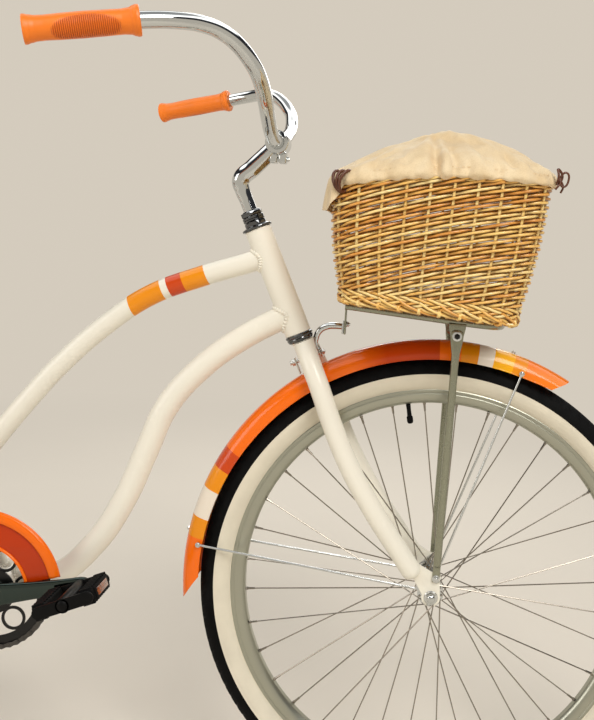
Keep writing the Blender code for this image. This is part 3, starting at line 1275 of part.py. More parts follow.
def basket_ring(share, inset, lift=0.0, bulge=0.006, points=5):
    """Rounded rectangle of the basket a share of the way up, inset from its outer face."""
    foot_rear, foot_front = basket_feet()
    rear = lerp(foot_rear, BASKET_TOP_REAR, share)
    front = lerp(foot_front, BASKET_TOP_FRONT, share)
    swell = bulge * math.sin(math.pi * share)
    half = BASKET_BOTTOM_HALF + (BASKET_TOP_HALF - BASKET_BOTTOM_HALF) * share + swell - inset
    back, ahead = rear[0] - swell + inset, front[0] + swell - inset
    corner = BASKET_CORNER - inset
    ring = []
    for x_mid, y_mid, start in ((ahead - corner, half - corner, 0), (back + corner, half - corner, 90),
                                (back + corner, -half + corner, 180), (ahead - corner, -half + corner, 270)):
        for step in range(points):
            angle = math.radians(start + 90 * step / (points - 1))
            x = x_mid + corner * math.cos(angle)
            z = rear[1] + (front[1] - rear[1]) * (x - rear[0]) / (front[0] - rear[0])
            ring.append(over_wheel(x, y_mid + corner * math.sin(angle), z + lift))
    return ring


def basket_feet():
    """Rear and front edge of the basket's floor, on top of the rack."""
    rear_x, front_x = -0.164, 0.093
    lift = RACK_TUBE_RADIUS + GAP
    return (rear_x, rack_height(rear_x) + lift), (front_x, rack_height(front_x) + lift)


def loft(name, rings, cap_first=True, cap_last=True):
    """Skin over rings of as many points each."""
    form = bmesh.new()
    levels = [[form.verts.new(point) for point in ring] for ring in rings]
    for low, high in zip(levels, levels[1:]):
        count = len(low)
        for i in range(count):
            form.faces.new((low[i], low[(i + 1) % count], high[(i + 1) % count], high[i]))
    if cap_first:
        form.faces.new(levels[0][::-1])
    if cap_last:
        form.faces.new(levels[-1])
    bmesh.ops.recalc_face_normals(form, faces=form.faces)
    mesh = bpy.data.meshes.new(name)
    form.to_mesh(mesh)
    form.free()
    return add_object(name, mesh)


def build_basket(steering):
    """Basket as a thick open shell with rounded corners and slightly full sides."""
    outer = [basket_ring(share, 0.0) for share in (0.0, 0.25, 0.55, 0.85, 1.0)]
    inner = [basket_ring(share, BASKET_WALL) for share in (1.0, 0.55, 0.2)]
    inner.append(basket_ring(0.0, BASKET_WALL, BASKET_WALL))
    finish(loft("basket", outer + inner), WICKER, steering)


def build_liner(steering):
    """Cloth cover that rises from the rim in folds to a soft peak."""
    base = basket_ring(1.0, 0.004, GAP, 0.006, 7)
    centre = sum(base, Vector()) / len(base)
    rings = []
    shares = (0.0, 0.12, 0.36, 0.62, 0.86)
    for level, share in enumerate(shares):
        lift = LINER_PEAK * math.sin(math.radians(90 * min(1.0, share * 1.08)))
        fold = 0.005 * math.sin(math.pi * share)
        ring = []
        for number, point in enumerate(base):
            wave = fold * math.cos(2 * math.pi * number * 7 / len(base))
            pull = 1 - share ** 1.5
            ring.append(centre + (point - centre) * pull + UP * (lift + wave + 0.0008 * (level > 0)))
        rings.append(ring)
    cover = loft("basket_liner", rings, False, True)
    thicken = cover.modifiers.new("Cloth", "SOLIDIFY")
    thicken.thickness = LINER_WALL
    thicken.offset = 1
    finish(cover, CANVAS, steering)


# Seat


def saddle_base(x, y, z):
    """World point from the top of the seat post."""
    return seat_axis(SEAT_TUBE_LENGTH + POST_SHOWN) + Vector((x, y, z))


def build_seat_clamp():
    """Collar round the top of the seat tube with its two lugs and bolt."""
    top = SEAT_TUBE_LENGTH - 0.002
    collar = pipe("seat_clamp", top - 0.016, top, SEAT_TUBE_RADIUS + 0.0038, SEAT_TUBE_RADIUS + GAP,
                  CRANK_CENTRE, SEAT_UP, 16)
    middle = seat_axis(top - 0.008)
    back = Vector((-SEAT_UP.z, 0, SEAT_UP.x))
    lug = block("seat_clamp_lug", middle + back * (SEAT_TUBE_RADIUS + 0.0075), (0.013, 0.012, 0.014), SEAT_UP)
    slot = block("seat_clamp_slot", middle + back * 0.022, (0.030, 0.0022, 0.03), SEAT_UP)
    spot = middle + back * (SEAT_TUBE_RADIUS + 0.0095)
    bolt = rod("seat_clamp_bolt", spot - LEFT * 0.010, spot + LEFT * 0.010, 0.0030, 8)
    fuse(collar, lug)
    cut(collar, slot)
    fuse(collar, bolt)
    finish(collar, CHROME)


def build_seatpost(seat):
    """Straight seat post."""
    top = seat_axis(SEAT_TUBE_LENGTH + POST_SHOWN)
    finish(rod("seatpost", top - SEAT_UP * POST_LENGTH, top, POST_RADIUS, 20), CHROME, seat)


def build_saddle_rails(seat):
    """Rails from the nose to the spring plates, with the clamp on the post."""
    sleeve = rod("saddle_rails", saddle_base(0, 0, 0) - SEAT_UP * 0.030, saddle_base(0, 0, 0) + SEAT_UP * 0.010,
                 0.0170, 16)
    extras = []
    for side, label in ((-1, "right"), (1, "left")):
        path = [saddle_base(0.132, side * 0.004, SADDLE_LIFT - 0.008), saddle_base(0.110, side * 0.014, 0.024),
                saddle_base(0.060, side * 0.020, 0.004), saddle_base(-0.030, side * 0.020, -0.004),
                saddle_base(-0.064, side * 0.032, -0.0150), saddle_base(-0.085, side * SPRING_Y, -0.0150)]
        extras.append(tube("saddle_rail_" + label, path, 0.0035, 6, 1))
        extras.append(rod("saddle_plate_" + label, saddle_base(SPRING_X, side * SPRING_Y, -0.0125),
                          saddle_base(SPRING_X, side * SPRING_Y, -0.0095), SPRING_RADIUS + 0.003, 12))
    nose = block("saddle_nose_plate", saddle_base(0.132, 0, SADDLE_LIFT - 0.0060), (0.022, 0.026, 0.0114))
    bore = rod("saddle_clamp_bore", saddle_base(0, 0, 0) - SEAT_UP * 0.05, saddle_base(0, 0, 0) + SEAT_UP * GAP,
               POST_RADIUS + GAP, 20)
    fuse(sleeve, *extras, nose)
    cut(sleeve, bore)
    finish(sleeve, BLACK_STEEL, seat)


def build_spring(side, name, seat):
    """Coil spring between the rail's plate and the saddle, one tube with flat seats at its ends."""
    low = -0.0095 + GAP
    high = SADDLE_LIFT - GAP
    seat_thickness = 0.002
    per_turn = 8
    count = SPRING_TURNS * per_turn
    rise = high - low - 2 * seat_thickness - 2 * SPRING_WIRE + 0.0016
    first = low + seat_thickness + SPRING_WIRE - 0.0008
    path = []
    for step in range(count + 1):
        angle = 2 * math.pi * step / per_turn
        x, y = polar(SPRING_RADIUS - SPRING_WIRE, angle)
        path.append(saddle_base(SPRING_X + x, side * SPRING_Y + y, first + rise * step / count))
    coil = tube(name, path, SPRING_WIRE, 6, 1)
    for label, z in (("foot", low), ("head", high - seat_thickness)):
        fuse(coil, rod(name + "_" + label, saddle_base(SPRING_X, side * SPRING_Y, z),
                       saddle_base(SPRING_X, side * SPRING_Y, z + seat_thickness), SPRING_RADIUS + 0.001, 12))
    finish(coil, CHROME, seat)


def build_saddle(seat):
    """Wide sprung saddle with its crown, narrow nose and drawn-in skirt."""
    stations = [(0.0, 0.10, 0.62), (0.04, 0.17, 0.80), (0.14, 0.21, 0.92), (0.30, 0.27, 0.94),
                (0.45, 0.42, 0.92), (0.60, 0.70, 0.94), (0.74, 0.92, 1.0), (0.88, 0.99, 1.04),
                (0.96, 0.90, 0.98), (1.0, 0.70, 0.74)]
    rings = []
    for along, width, height in stations:
        x = SADDLE_NOSE - SADDLE_LENGTH * along
        half = SADDLE_HALF_WIDTH * width
        top = SADDLE_HEIGHT * height
        ring = [(0, top), (0.42 * half, top * 0.985), (0.78 * half, top * 0.86), (0.97 * half, top * 0.58),
                (half, top * 0.30), (0.93 * half, 0.0), (0.5 * half, 0.0)]
        other = [(-y, z) for y, z in ring[:0:-1]]
        rings.append([saddle_base(x, y, SADDLE_LIFT + z) for y, z in ring + [(0, 0.0)] + other])
    saddle = loft("saddle", rings)
    finish(saddle, SADDLE_BROWN, seat)


# Side stand


def build_stand_bracket():
    """Bracket on the outside of the left chainstay that carries the stand's pin."""
    plate = block("side_stand_bracket", at(STAND_X, STAND_PLATE_Y, STAND_Z + 0.012), (0.040, 0.010, 0.034))
    root = at(STAND_X, STAND_PLATE_Y, STAND_Z)
    pin = rod("side_stand_pin", root, root + STAND_AXIS * 0.0235, STAND_PIN_RADIUS, 12)
    fuse(plate, pin)
    finish(plate, STEEL)


def build_stand(pivot):
    """Leg of the side stand from its bored hub to a foot cut flat on the ground."""
    start = at(STAND_X, STAND_PLATE_Y, STAND_Z) + STAND_AXIS * 0.0062
    hub = rod("side_stand", start, start + STAND_AXIS * 0.0145, 0.0115, 16)
    top = start + STAND_AXIS * 0.0073
    foot = Vector((top.x + STAND_FORWARD, STAND_FOOT_Y, 0.0))
    way = (foot - top).normalized()
    leg = rod("side_stand_leg", top, foot + way * 0.02, STAND_LEG_RADIUS, 12)
    shoe = rod("side_stand_shoe", foot - way * 0.030, foot + way * 0.03, STAND_LEG_RADIUS + 0.0035, 12)
    floor = block("side_stand_floor", Vector((foot.x, foot.y, -0.05)), (0.2, 0.2, 0.1))
    bore = rod("side_stand_bore", start - STAND_AXIS * 0.01, start + STAND_AXIS * 0.03, STAND_PIN_RADIUS + GAP, 12)
    fuse(hub, leg, shoe)
    cut(hub, bore, floor)
    finish(hub, CHROME, pivot)


def build_bicycle():
    """Every piece, on the empty of the body that carries it."""
    steering = joint_empty("steering_axis", on_steerer(HEAD_TUBE_BOTTOM))
    front_axle = joint_empty("front_wheel_axis", FRONT_HUB, steering)
    rear_axle = joint_empty("rear_wheel_axis", REAR_HUB)
    driver = joint_empty("driver_axis", REAR_HUB)
    crank = joint_empty("crank_axis", CRANK_CENTRE)
    seat = joint_empty("seat_axis", seat_axis(SEAT_TUBE_LENGTH))
    stand = joint_empty("stand_axis", at(STAND_X, STAND_PLATE_Y, STAND_Z))
    build_head_tube()
    build_main_tubes()
    build_seat_tube()
    build_bb_shell()
    for side, label in ((-1, "right"), (1, "left")):
        build_rear_stay(side, "rear_stay_" + label)
        build_bb_bearing(side, "bb_bearing_" + label)
    build_headset()
    build_headset_top(steering)
    build_steerer(steering)
    for side, label in ((-1, "right"), (1, "left")):
        build_blade(side, "fork_blade_" + label, steering)
        build_strut(side, "rack_strut_" + label, steering)
        build_grip(side, "grip_" + label, steering)
        pedal = joint_empty("pedal_axis_" + label, pedal_centre(side), crank)
        build_pedal(side, "pedal_" + label, pedal)
        build_spring(side, "saddle_spring_" + label, seat)
    build_crown_bolt(steering)
    build_rack_hook(steering)
    build_wheel("front", FRONT_HUB, front_axle)
    build_wheel("rear", REAR_HUB, rear_axle)
    build_front_hub(front_axle)
    build_rear_hub(rear_axle)
    build_axle("front_axle", FRONT_HUB, FRONT_DROPOUT_Y, 0.0470, 0.0470, steering)
    build_axle("rear_axle", REAR_HUB, REAR_DROPOUT_Y, 0.0503, 0.0515, None)
    build_brake_arm()
    build_cog(driver)
    build_crank(crank)
    build_chainring(crank)
    build_chain()
    build_chain_guard()
    build_fender("front_fender", FRONT_HUB, FRONT_FENDER_ARC, 20, steering)
    build_fender("rear_fender", REAR_HUB, REAR_FENDER_ARC, 28)
    build_fender_stays(steering)
    build_stem(steering)
    build_handlebar(steering)
    build_rack(steering)
    build_basket(steering)
    build_liner(steering)
    build_seat_clamp()
    build_seatpost(seat)
    build_saddle_rails(seat)
    build_saddle(seat)
    build_stand_bracket()
    build_stand(stand)


build_bicycle()
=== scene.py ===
"""Looks of the step-through cruiser: paint, chrome, rubber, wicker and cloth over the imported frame.

Places are given in metres from the centre of the front hub, X forward, Y to the left and Z up.
"""
import json
import math
import random
import bmesh
import bpy
from mathutils import Matrix, Vector, noise

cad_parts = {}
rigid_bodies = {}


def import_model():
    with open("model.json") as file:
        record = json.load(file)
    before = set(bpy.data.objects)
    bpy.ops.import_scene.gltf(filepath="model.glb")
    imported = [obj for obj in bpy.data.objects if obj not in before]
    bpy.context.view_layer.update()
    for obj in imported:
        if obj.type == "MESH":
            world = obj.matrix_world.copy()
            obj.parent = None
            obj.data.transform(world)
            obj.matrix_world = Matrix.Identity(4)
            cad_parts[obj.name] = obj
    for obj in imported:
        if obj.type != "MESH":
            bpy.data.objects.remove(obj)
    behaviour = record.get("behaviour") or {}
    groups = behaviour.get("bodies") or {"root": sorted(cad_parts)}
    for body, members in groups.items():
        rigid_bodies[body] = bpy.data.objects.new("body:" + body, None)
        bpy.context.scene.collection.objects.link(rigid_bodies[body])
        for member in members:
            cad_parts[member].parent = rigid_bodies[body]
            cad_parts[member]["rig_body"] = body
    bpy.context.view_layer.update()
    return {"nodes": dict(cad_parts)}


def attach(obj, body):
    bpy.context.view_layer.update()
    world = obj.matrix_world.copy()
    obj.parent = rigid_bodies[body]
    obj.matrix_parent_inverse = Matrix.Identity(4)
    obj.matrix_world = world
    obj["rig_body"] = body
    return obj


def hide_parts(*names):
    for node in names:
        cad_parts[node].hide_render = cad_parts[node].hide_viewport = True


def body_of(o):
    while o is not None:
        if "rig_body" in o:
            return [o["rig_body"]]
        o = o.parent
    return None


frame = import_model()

HUB = Vector((0.5938785, 0.0, 0.3672232))
REAR = Vector((-0.5651020, 0.0, 0.3672232))
CRANK = HUB + Vector((-0.6877, 0.0, -0.044))
X, Y, Z = Vector((1, 0, 0)), Vector((0, 1, 0)), Vector((0, 0, 1))
SIDES = ((-1, "right"), (1, "left"))
HEAD_ANGLE, SEAT_ANGLE, CRANK_ANGLE, PEDAL_ANGLE, VALVE_ANGLE = 65.15, 67, 11, 22, 100.4
FORK_OFFSET, CROWN_BOLT = 0.0485, 0.412
PITCH, RING_TEETH, COG_TEETH, LINKS, SPOKES = 0.0127, 44, 18, 106, 36
RING_RADIUS, COG_RADIUS = (PITCH / (2 * math.sin(math.pi / teeth)) for teeth in (RING_TEETH, COG_TEETH))
CHAIN_SIDE, CRANK_LENGTH, BASKET_HEIGHT, STAKES = -0.045, 0.152, 0.19, 36


def heading(degrees):
    """Way in the side view, at an angle above forward."""
    return Vector((math.cos(math.radians(degrees)), 0, math.sin(math.radians(degrees))))


STEER_UP, STEER_AHEAD = heading(180 - HEAD_ANGLE), heading(90 - HEAD_ANGLE)
SEAT_UP = heading(180 - SEAT_ANGLE)


def at(x, y, z):
    """Point given from the front hub."""
    return HUB + Vector((x, y, z))


def in_plane(*spots):
    """Points in the bicycle's middle plane, from the front hub."""
    return [at(x, 0, z) for x, z in spots]


def on_steerer(height, ahead=0.0, side=0.0):
    """Point a height up the steering axis."""
    return HUB + STEER_UP * height + STEER_AHEAD * (ahead - FORK_OFFSET) + Y * side


def seat_axis(height, side=0.0):
    """Point a height up the seat tube."""
    return CRANK + SEAT_UP * height + Y * side


def saddle_at(x, y, z):
    """Point from the top of the seat post."""
    return seat_axis(0.55) + Vector((x, y, z))


# Making pieces

def pick(*pieces):
    """Select only these, the first one active."""
    bpy.ops.object.select_all(action="DESELECT")
    for piece in pieces:
        piece.select_set(True)
    bpy.context.view_layer.objects.active = pieces[0]


def edit(piece, *steps):
    """Run edit-mode steps on all of a piece."""
    pick(piece)
    bpy.ops.object.mode_set(mode="EDIT")
    bpy.ops.mesh.select_all(action="SELECT")
    for step in steps:
        step()
    bpy.ops.object.mode_set(mode="OBJECT")
    return piece


def linked(name, data):
    """New object in the scene."""
    piece = bpy.data.objects.new(name, data)
    bpy.context.scene.collection.objects.link(piece)
    return piece


def mesh_piece(name, points, edges, faces):
    """New mesh object from points."""
    mesh = bpy.data.meshes.new(name)
    mesh.from_pydata([tuple(point) for point in points], edges, faces)
    return linked(name, mesh)


def form_piece(name, form):
    """New mesh object from an edit form, which is freed."""
    mesh = bpy.data.meshes.new(name)
    form.to_mesh(mesh)
    form.free()
    return linked(name, mesh)


def pin(form, start, end, first, last, sides):
    """Small round bar added to an edit form."""
    run = end - start
    place = Matrix.LocRotScale((start + end) / 2, Z.rotation_difference(run.normalized()), None)
    bmesh.ops.create_cone(form, cap_ends=True, segments=sides, radius1=first, radius2=last, depth=run.length,
                          matrix=place)


def merge(gap=0.000002):
    """Edit step that merges doubled points."""
    return lambda: bpy.ops.mesh.remove_doubles(threshold=gap)


def outward():
    """Edit step that turns the selected faces outwards."""
    bpy.ops.mesh.normals_make_consistent(inside=False)


def fill_ends():
    """Edit step that caps each open end and selects all again."""
    bpy.ops.mesh.select_all(action="DESELECT")
    bpy.ops.mesh.select_non_manifold()
    bpy.ops.mesh.edge_face_add()
    bpy.ops.mesh.select_all(action="SELECT")


def oval(centre, aside, over, wide, high, count):
    """Points of an oval round a centre."""
    return [centre + aside * wide * math.cos(turn) + over * high * math.sin(turn) for turn in turns(count)]


def turns(count):
    """Evenly spaced angles of one full turn."""
    return [2 * math.pi * step / count for step in range(count)]


def smooth(piece, angle=35):
    """Round shading that keeps edges sharper than the angle."""
    pick(piece)
    bpy.ops.object.shade_smooth_by_angle(angle=math.radians(angle), keep_sharp_edges=False)
    return piece


def apply_all(piece):
    """Apply modifiers and place."""
    pick(piece)
    for change in list(piece.modifiers):
        bpy.ops.object.modifier_apply(modifier=change.name)
    bpy.ops.object.transform_apply(location=True, rotation=True, scale=True)
    return piece


def with_change(piece, kind, **settings):
    """Add one modifier and apply it."""
    change = piece.modifiers.new(kind.title(), kind)
    for key, value in settings.items():
        setattr(change, key, value)
    return apply_all(piece)


def joined(name, pieces):
    """Join meshes into one piece."""
    pick(*pieces)
    if len(pieces) > 1:
        bpy.ops.object.join()
    pieces[0].name = name
    pieces[0].data.name = name
    return pieces[0]


def turned(name, profile, centre, axis, steps=64, angle=35):
    """Profile of (radius, height) points spun round an axis."""
    axis = Vector(axis).normalized()
    side = axis.orthogonal().normalized()
    count = len(profile)
    edges = [(i, i + 1) for i in range(count - 1)]
    if profile[0][0] > 1e-6 or profile[-1][0] > 1e-6:
        edges.append((count - 1, 0))
    piece = mesh_piece(name, [centre + side * r + axis * h for r, h in profile], edges, [])
    edit(piece, lambda: bpy.ops.mesh.spin(steps=steps, angle=2 * math.pi, center=centre, axis=axis),
         merge(0.000003), outward)
    return smooth(piece, angle)


def swept(name, points, radius, sides=20, steps=8, swell=None, closed=False, straight=False):
    """Round bar along points, eased between them."""
    curve = bpy.data.curves.new(name, "CURVE")
    curve.dimensions = "3D"
    curve.bevel_depth = radius
    curve.bevel_resolution = (sides - 4) // 2
    curve.use_fill_caps = not closed
    curve.resolution_u = steps
    spline = curve.splines.new("POLY" if straight else "BEZIER")
    knots = spline.points if straight else spline.bezier_points
    knots.add(len(points) - 1)
    for number, (knot, point) in enumerate(zip(knots, points)):
        if straight:
            knot.co = (*point, 1)
        else:
            knot.co = point
            knot.handle_left_type = knot.handle_right_type = "AUTO"
        if swell:
            knot.radius = swell[number]
    spline.use_cyclic_u = closed
    piece = linked(name, curve)
    pick(piece)
    bpy.ops.object.convert(target="MESH")
    return smooth(edit(piece, merge(), outward), 50)


def rod(name, start, end, radius, sides=24, end_radius=None, bevel=0.0):
    """Round or many-sided bar between two points."""
    run = end - start
    pick_none()
    bpy.ops.mesh.primitive_cone_add(vertices=sides, radius1=radius, depth=run.length,
                                    radius2=radius if end_radius is None else end_radius,
                                    location=(start + end) / 2,
                                    rotation=Z.rotation_difference(run.normalized()).to_euler())
    piece = bpy.context.object
    piece.name = name
    bpy.ops.object.transform_apply(location=True, rotation=True, scale=True)
    if bevel:
        with_change(piece, "BEVEL", width=bevel, segments=2, limit_method="ANGLE", angle_limit=math.radians(50))
    return smooth(piece, 40 if sides > 8 else 25)


def pick_none():
    """Deselect everything, so that a new primitive stands alone."""
    bpy.ops.object.select_all(action="DESELECT")


def block(name, centre, size, up=Z, bevel=0.001, spin=0.0):
    """Bevelled box with its own Z along up."""
    pick_none()
    turn = Z.rotation_difference(Vector(up).normalized()).to_matrix() @ Matrix.Rotation(spin, 3, "Z")
    bpy.ops.mesh.primitive_cube_add(size=1, location=centre, rotation=turn.to_euler(), scale=size)
    piece = bpy.context.object
    piece.name = name
    bpy.ops.object.transform_apply(location=True, rotation=True, scale=True)
    with_change(piece, "BEVEL", width=bevel, segments=3, limit_method="ANGLE")
    return smooth(piece, 40)


def plate(name, outlines, thickness, place, bevel=0.0004):
    """Flat plate seen from the side, outlines of (x, z) points about place, the first one outermost."""
    curve = bpy.data.curves.new(name, "CURVE")
    curve.dimensions = "2D"
    curve.fill_mode = "BOTH"
    curve.extrude = thickness / 2 - bevel
    curve.bevel_depth = bevel
    curve.bevel_resolution = 1
    curve.offset = -bevel
    for outline in outlines:
        spline = curve.splines.new("POLY")
        spline.points.add(len(outline) - 1)
        for knot, (x, z) in zip(spline.points, outline):
            knot.co = (x, z, 0, 1)
        spline.use_cyclic_u = True
    piece = linked(name, curve)
    piece.rotation_euler = (math.pi / 2, 0, 0)
    piece.location = place
    pick(piece)
    bpy.ops.object.convert(target="MESH")
    bpy.ops.object.transform_apply(location=True, rotation=True, scale=True)
    return smooth(edit(piece, merge(), outward), 30)


def grid(name, rows, wrap_rows=False, wrap_columns=False, angle=50):
    """Skin over rows of points."""
    count, width = len(rows), len(rows[0])
    faces = []
    for i in range(count if wrap_rows else count - 1):
        for j in range(width if wrap_columns else width - 1):
            a, b = i * width, ((i + 1) % count) * width
            k = (j + 1) % width
            faces.append((a + j, a + k, b + k, b + j))
    piece = mesh_piece(name, [point for row in rows for point in row], [], faces)
    return smooth(edit(piece, outward), angle)


def copied(node, bevel=0.0, angle=32):
    """Merged copy of a frame node, with its edges eased."""
    piece = frame["nodes"][node].copy()
    piece.data = piece.data.copy()
    piece.name = node + "_dressed"
    piece.parent = None
    for key in list(piece.keys()):
        del piece[key]
    piece.modifiers.clear()
    bpy.context.scene.collection.objects.link(piece)
    edit(piece, merge(0.00001), lambda: bpy.ops.mesh.dissolve_limited(angle_limit=math.radians(1)))
    if bevel:
        with_change(piece, "BEVEL", width=bevel, segments=2, limit_method="ANGLE", angle_limit=math.radians(38))
    return smooth(piece, angle)


def settle(piece, finish, *nodes):
    """Give a piece its finish and let it stand for frame nodes on their body."""
    piece.data.materials.clear()
    piece.data.materials.append(finish)
    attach(piece, body_of(frame["nodes"][nodes[0]])[0])
    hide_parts(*nodes)
    return piece


def fit(name, parts, finish, *nodes):
    """Join parts into one piece and settle it."""
    return settle(joined(name, parts), finish, *nodes)


def arc(radius, start, end, count, centre=(0.0, 0.0)):
    """Points of an arc in the side view, angles in degrees."""
    turn = [math.radians(start + (end - start) * i / (count - 1)) for i in range(count)]
    return [(centre[0] + radius * math.cos(a), centre[1] + radius * math.sin(a)) for a in turn]


def both(points):
    """Closed section from the points of its half with positive heights."""
    return points + [(r, -h) for r, h in reversed(points)]


# Finishes

def linear(red, green, blue):
    """Colour from its 0 to 255 screen values."""
    return tuple(((c / 255 + 0.055) / 1.055) ** 2.4 if c > 10 else c / 3295 for c in (red, green, blue)) + (1,)


class Tree:
    """Node tree under construction, of a material or the world."""

    def __init__(self, owner):
        owner.use_nodes = True
        self.nodes, self.links = owner.node_tree.nodes, owner.node_tree.links

    def add(self, kind, inputs=(), **settings):
        """New node with settings and inputs, linked where an input is a socket."""
        node = self.nodes.new(kind)
        for key, value in settings.items():
            setattr(node, key, value)
        for key, value in dict(inputs).items():
            self.feed(node.inputs[key], value)
        return node

    def feed(self, socket, value):
        """Link or set a socket."""
        if isinstance(value, bpy.types.NodeSocket):
            self.links.new(value, socket)
        else:
            socket.default_value = value

    def ramp(self, factor, stops, steps=False):
        """Colour ramp of (place, colour) stops."""
        node = self.add("ShaderNodeValToRGB", {"Fac": factor})
        node.color_ramp.interpolation = "CONSTANT" if steps else "LINEAR"
        while len(node.color_ramp.elements) < len(stops):
            node.color_ramp.elements.new(1.0)
        for element, (spot, colour) in zip(node.color_ramp.elements, stops):
            element.position = spot
        for element, (spot, colour) in zip(node.color_ramp.elements, stops):
            element.color = colour
        return node.outputs[0]

    def sum(self, operation, first, second=0.0, third=0.0):
        """One arithmetic step."""
        return self.add("ShaderNodeMath", {0: first, 1: second, 2: third}, operation=operation).outputs[0]


class Finish(Tree):
    """Material under construction, with its shader and the place each texture starts from."""

    def __init__(self, name):
        self.material = bpy.data.materials.new(name)
        super().__init__(self.material)
        self.shader = self.nodes["Principled BSDF"]
        self.place = self.add("ShaderNodeTexCoord").outputs["Object"]

    def stretched(self, scale):
        """Place, stretched by a scale per axis."""
        return self.add("ShaderNodeMapping", {"Vector": self.place, "Scale": scale}).outputs[0]

    def noise(self, scale, detail=3, where=None):
        """Noise at a scale."""
        return self.add("ShaderNodeTexNoise", {"Vector": where or self.place, "Scale": scale, "Detail": detail,
                                               "Roughness": 0.5}).outputs[0]

    def mix(self, factor, first, second, blend="MIX"):
        """Mix of two colours."""
        node = self.add("ShaderNodeMix", data_type="RGBA", blend_type=blend)
        self.feed(node.inputs[0], factor)
        self.feed(node.inputs[6], first)
        self.feed(node.inputs[7], second)
        return node.outputs[2]

    def varied(self, colour, spread, scale, where=None):
        """Colour that drifts a little lighter and darker."""
        dark = tuple(c * (1 - spread) for c in colour[:3]) + (1,)
        light = tuple(min(1.0, c * (1 + spread)) for c in colour[:3]) + (1,)
        return self.ramp(self.noise(scale, 4, where), [(0.3, dark), (0.7, light)])

    def relief(self, height, depth, strength=1.0):
        """Bump from a height in shares of depth metres."""
        bump = self.add("ShaderNodeBump", {"Height": height, "Distance": depth, "Strength": strength})
        self.feed(self.shader.inputs["Normal"], bump.outputs[0])

    def dress(self, colour=None, rough=0.4, metal=0.0, coat=0.0, rough_spread=0.04, rough_scale=30, sheen=0.0,
              specular=0.5):
        """Set the shader."""
        if colour is not None:
            self.feed(self.shader.inputs["Base Color"], colour)
        for key, value in (("Metallic", metal), ("Coat Weight", coat), ("Coat Roughness", 0.06),
                           ("Sheen Weight", sheen), ("Specular IOR Level", specular)):
            self.shader.inputs[key].default_value = value
        spread = self.add("ShaderNodeMapRange", {"Value": self.noise(rough_scale, 5), "To Min": rough - rough_spread,
                                                 "To Max": rough + rough_spread})
        self.feed(self.shader.inputs["Roughness"], spread.outputs[0])
        return self.material


def paint(name, colour, spread=0.02):
    """Gloss paint under clear coat, with a faint orange-peel skin."""
    coat = Finish(name)
    coat.relief(coat.noise(420, 2), 0.00005, 0.35)
    return coat.dress(coat.varied(colour, spread, 5), 0.26, 0.0, 0.18, 0.05, specular=0.25)


def metal(name, colour, rough, grain=(1, 1, 1), grain_scale=900, depth=0.00001, spread=0.03, rough_spread=0.03):
    """Metal with fine polishing or drawing marks."""
    bright = Finish(name)
    marks = bright.noise(grain_scale, 3, bright.stretched(grain))
    bright.relief(marks, depth, 0.5)
    return bright.dress(bright.varied(colour, spread, 12), rough, 1.0, 0.0, rough_spread, 60)


def moulded(name, colour, rough, grain_scale=700, depth=0.00008, spread=0.06, specular=0.5):
    """Rubber or plastic with a fine moulded skin."""
    skin = Finish(name)
    skin.relief(skin.noise(grain_scale, 3), depth, 0.6)
    return skin.dress(skin.varied(colour, spread, 25), rough, 0.0, 0.0, 0.05, 50, specular=specular)


CREAM_COLOUR = linear(240, 235, 220)
ORANGE_COLOUR = linear(250, 112, 2)
DEEP_COLOUR = linear(206, 68, 2)
BRIGHT_COLOUR = linear(252, 128, 16)
AMBER_COLOUR = linear(240, 146, 0)
YELLOW_COLOUR = linear(250, 178, 0)
BAND_WHITE = linear(240, 228, 210)

CREAM = paint("cream_paint", CREAM_COLOUR)
ORANGE = paint("orange_paint", ORANGE_COLOUR, 0.04)
# Deeper orange for the chain guard's recessed face: painted shade.
GUARD_FACE_SHADE_ORANGE = paint("guard_face_painted_shade", linear(186, 54, 0), 0.06)
CHROME = metal("polished_chrome", (0.60, 0.62, 0.62, 1), 0.06)
DARK_CHROME = metal("dark_chrome", (0.13, 0.135, 0.14, 1), 0.09)
SMOKED_CHROME = metal("smoked_crank_chrome", (0.05, 0.066, 0.060, 1), 0.10)
STAINLESS = metal("spoke_steel", (0.30, 0.27, 0.23, 1), 0.24)
ZINC = metal("zinc_plate", (0.66, 0.66, 0.63, 1), 0.30)
SPRING_STEEL = metal("spring_steel", (0.72, 0.72, 0.72, 1), 0.16)
SATIN_RIM = metal("satin_rim", (0.41, 0.415, 0.345, 1), 0.30, depth=0.00002)
BLACK_STEEL = metal("blackened_steel", (0.035, 0.035, 0.035, 1), 0.34)
CHAIN_STEEL = metal("oiled_chain_steel", (0.10, 0.095, 0.09, 1), 0.36)
BLACK_RUBBER = moulded("black_rubber", (0.005, 0.005, 0.005, 1), 0.62, specular=0.06)
BLACK_PLASTIC = moulded("black_plastic", (0.004, 0.004, 0.004, 1), 0.36, 400, specular=0.10)


def silver_paint():
    """Silver-grey paint with fine metal flake."""
    flake = Finish("silver_paint")
    speck = flake.noise(1500, 1)
    tone = flake.ramp(speck, [(0.35, linear(132, 133, 114)), (0.65, linear(160, 161, 141))])
    flake.relief(flake.noise(400, 2), 0.00004, 0.3)
    return flake.dress(tone, 0.27, 0.8, 0.3, 0.04)


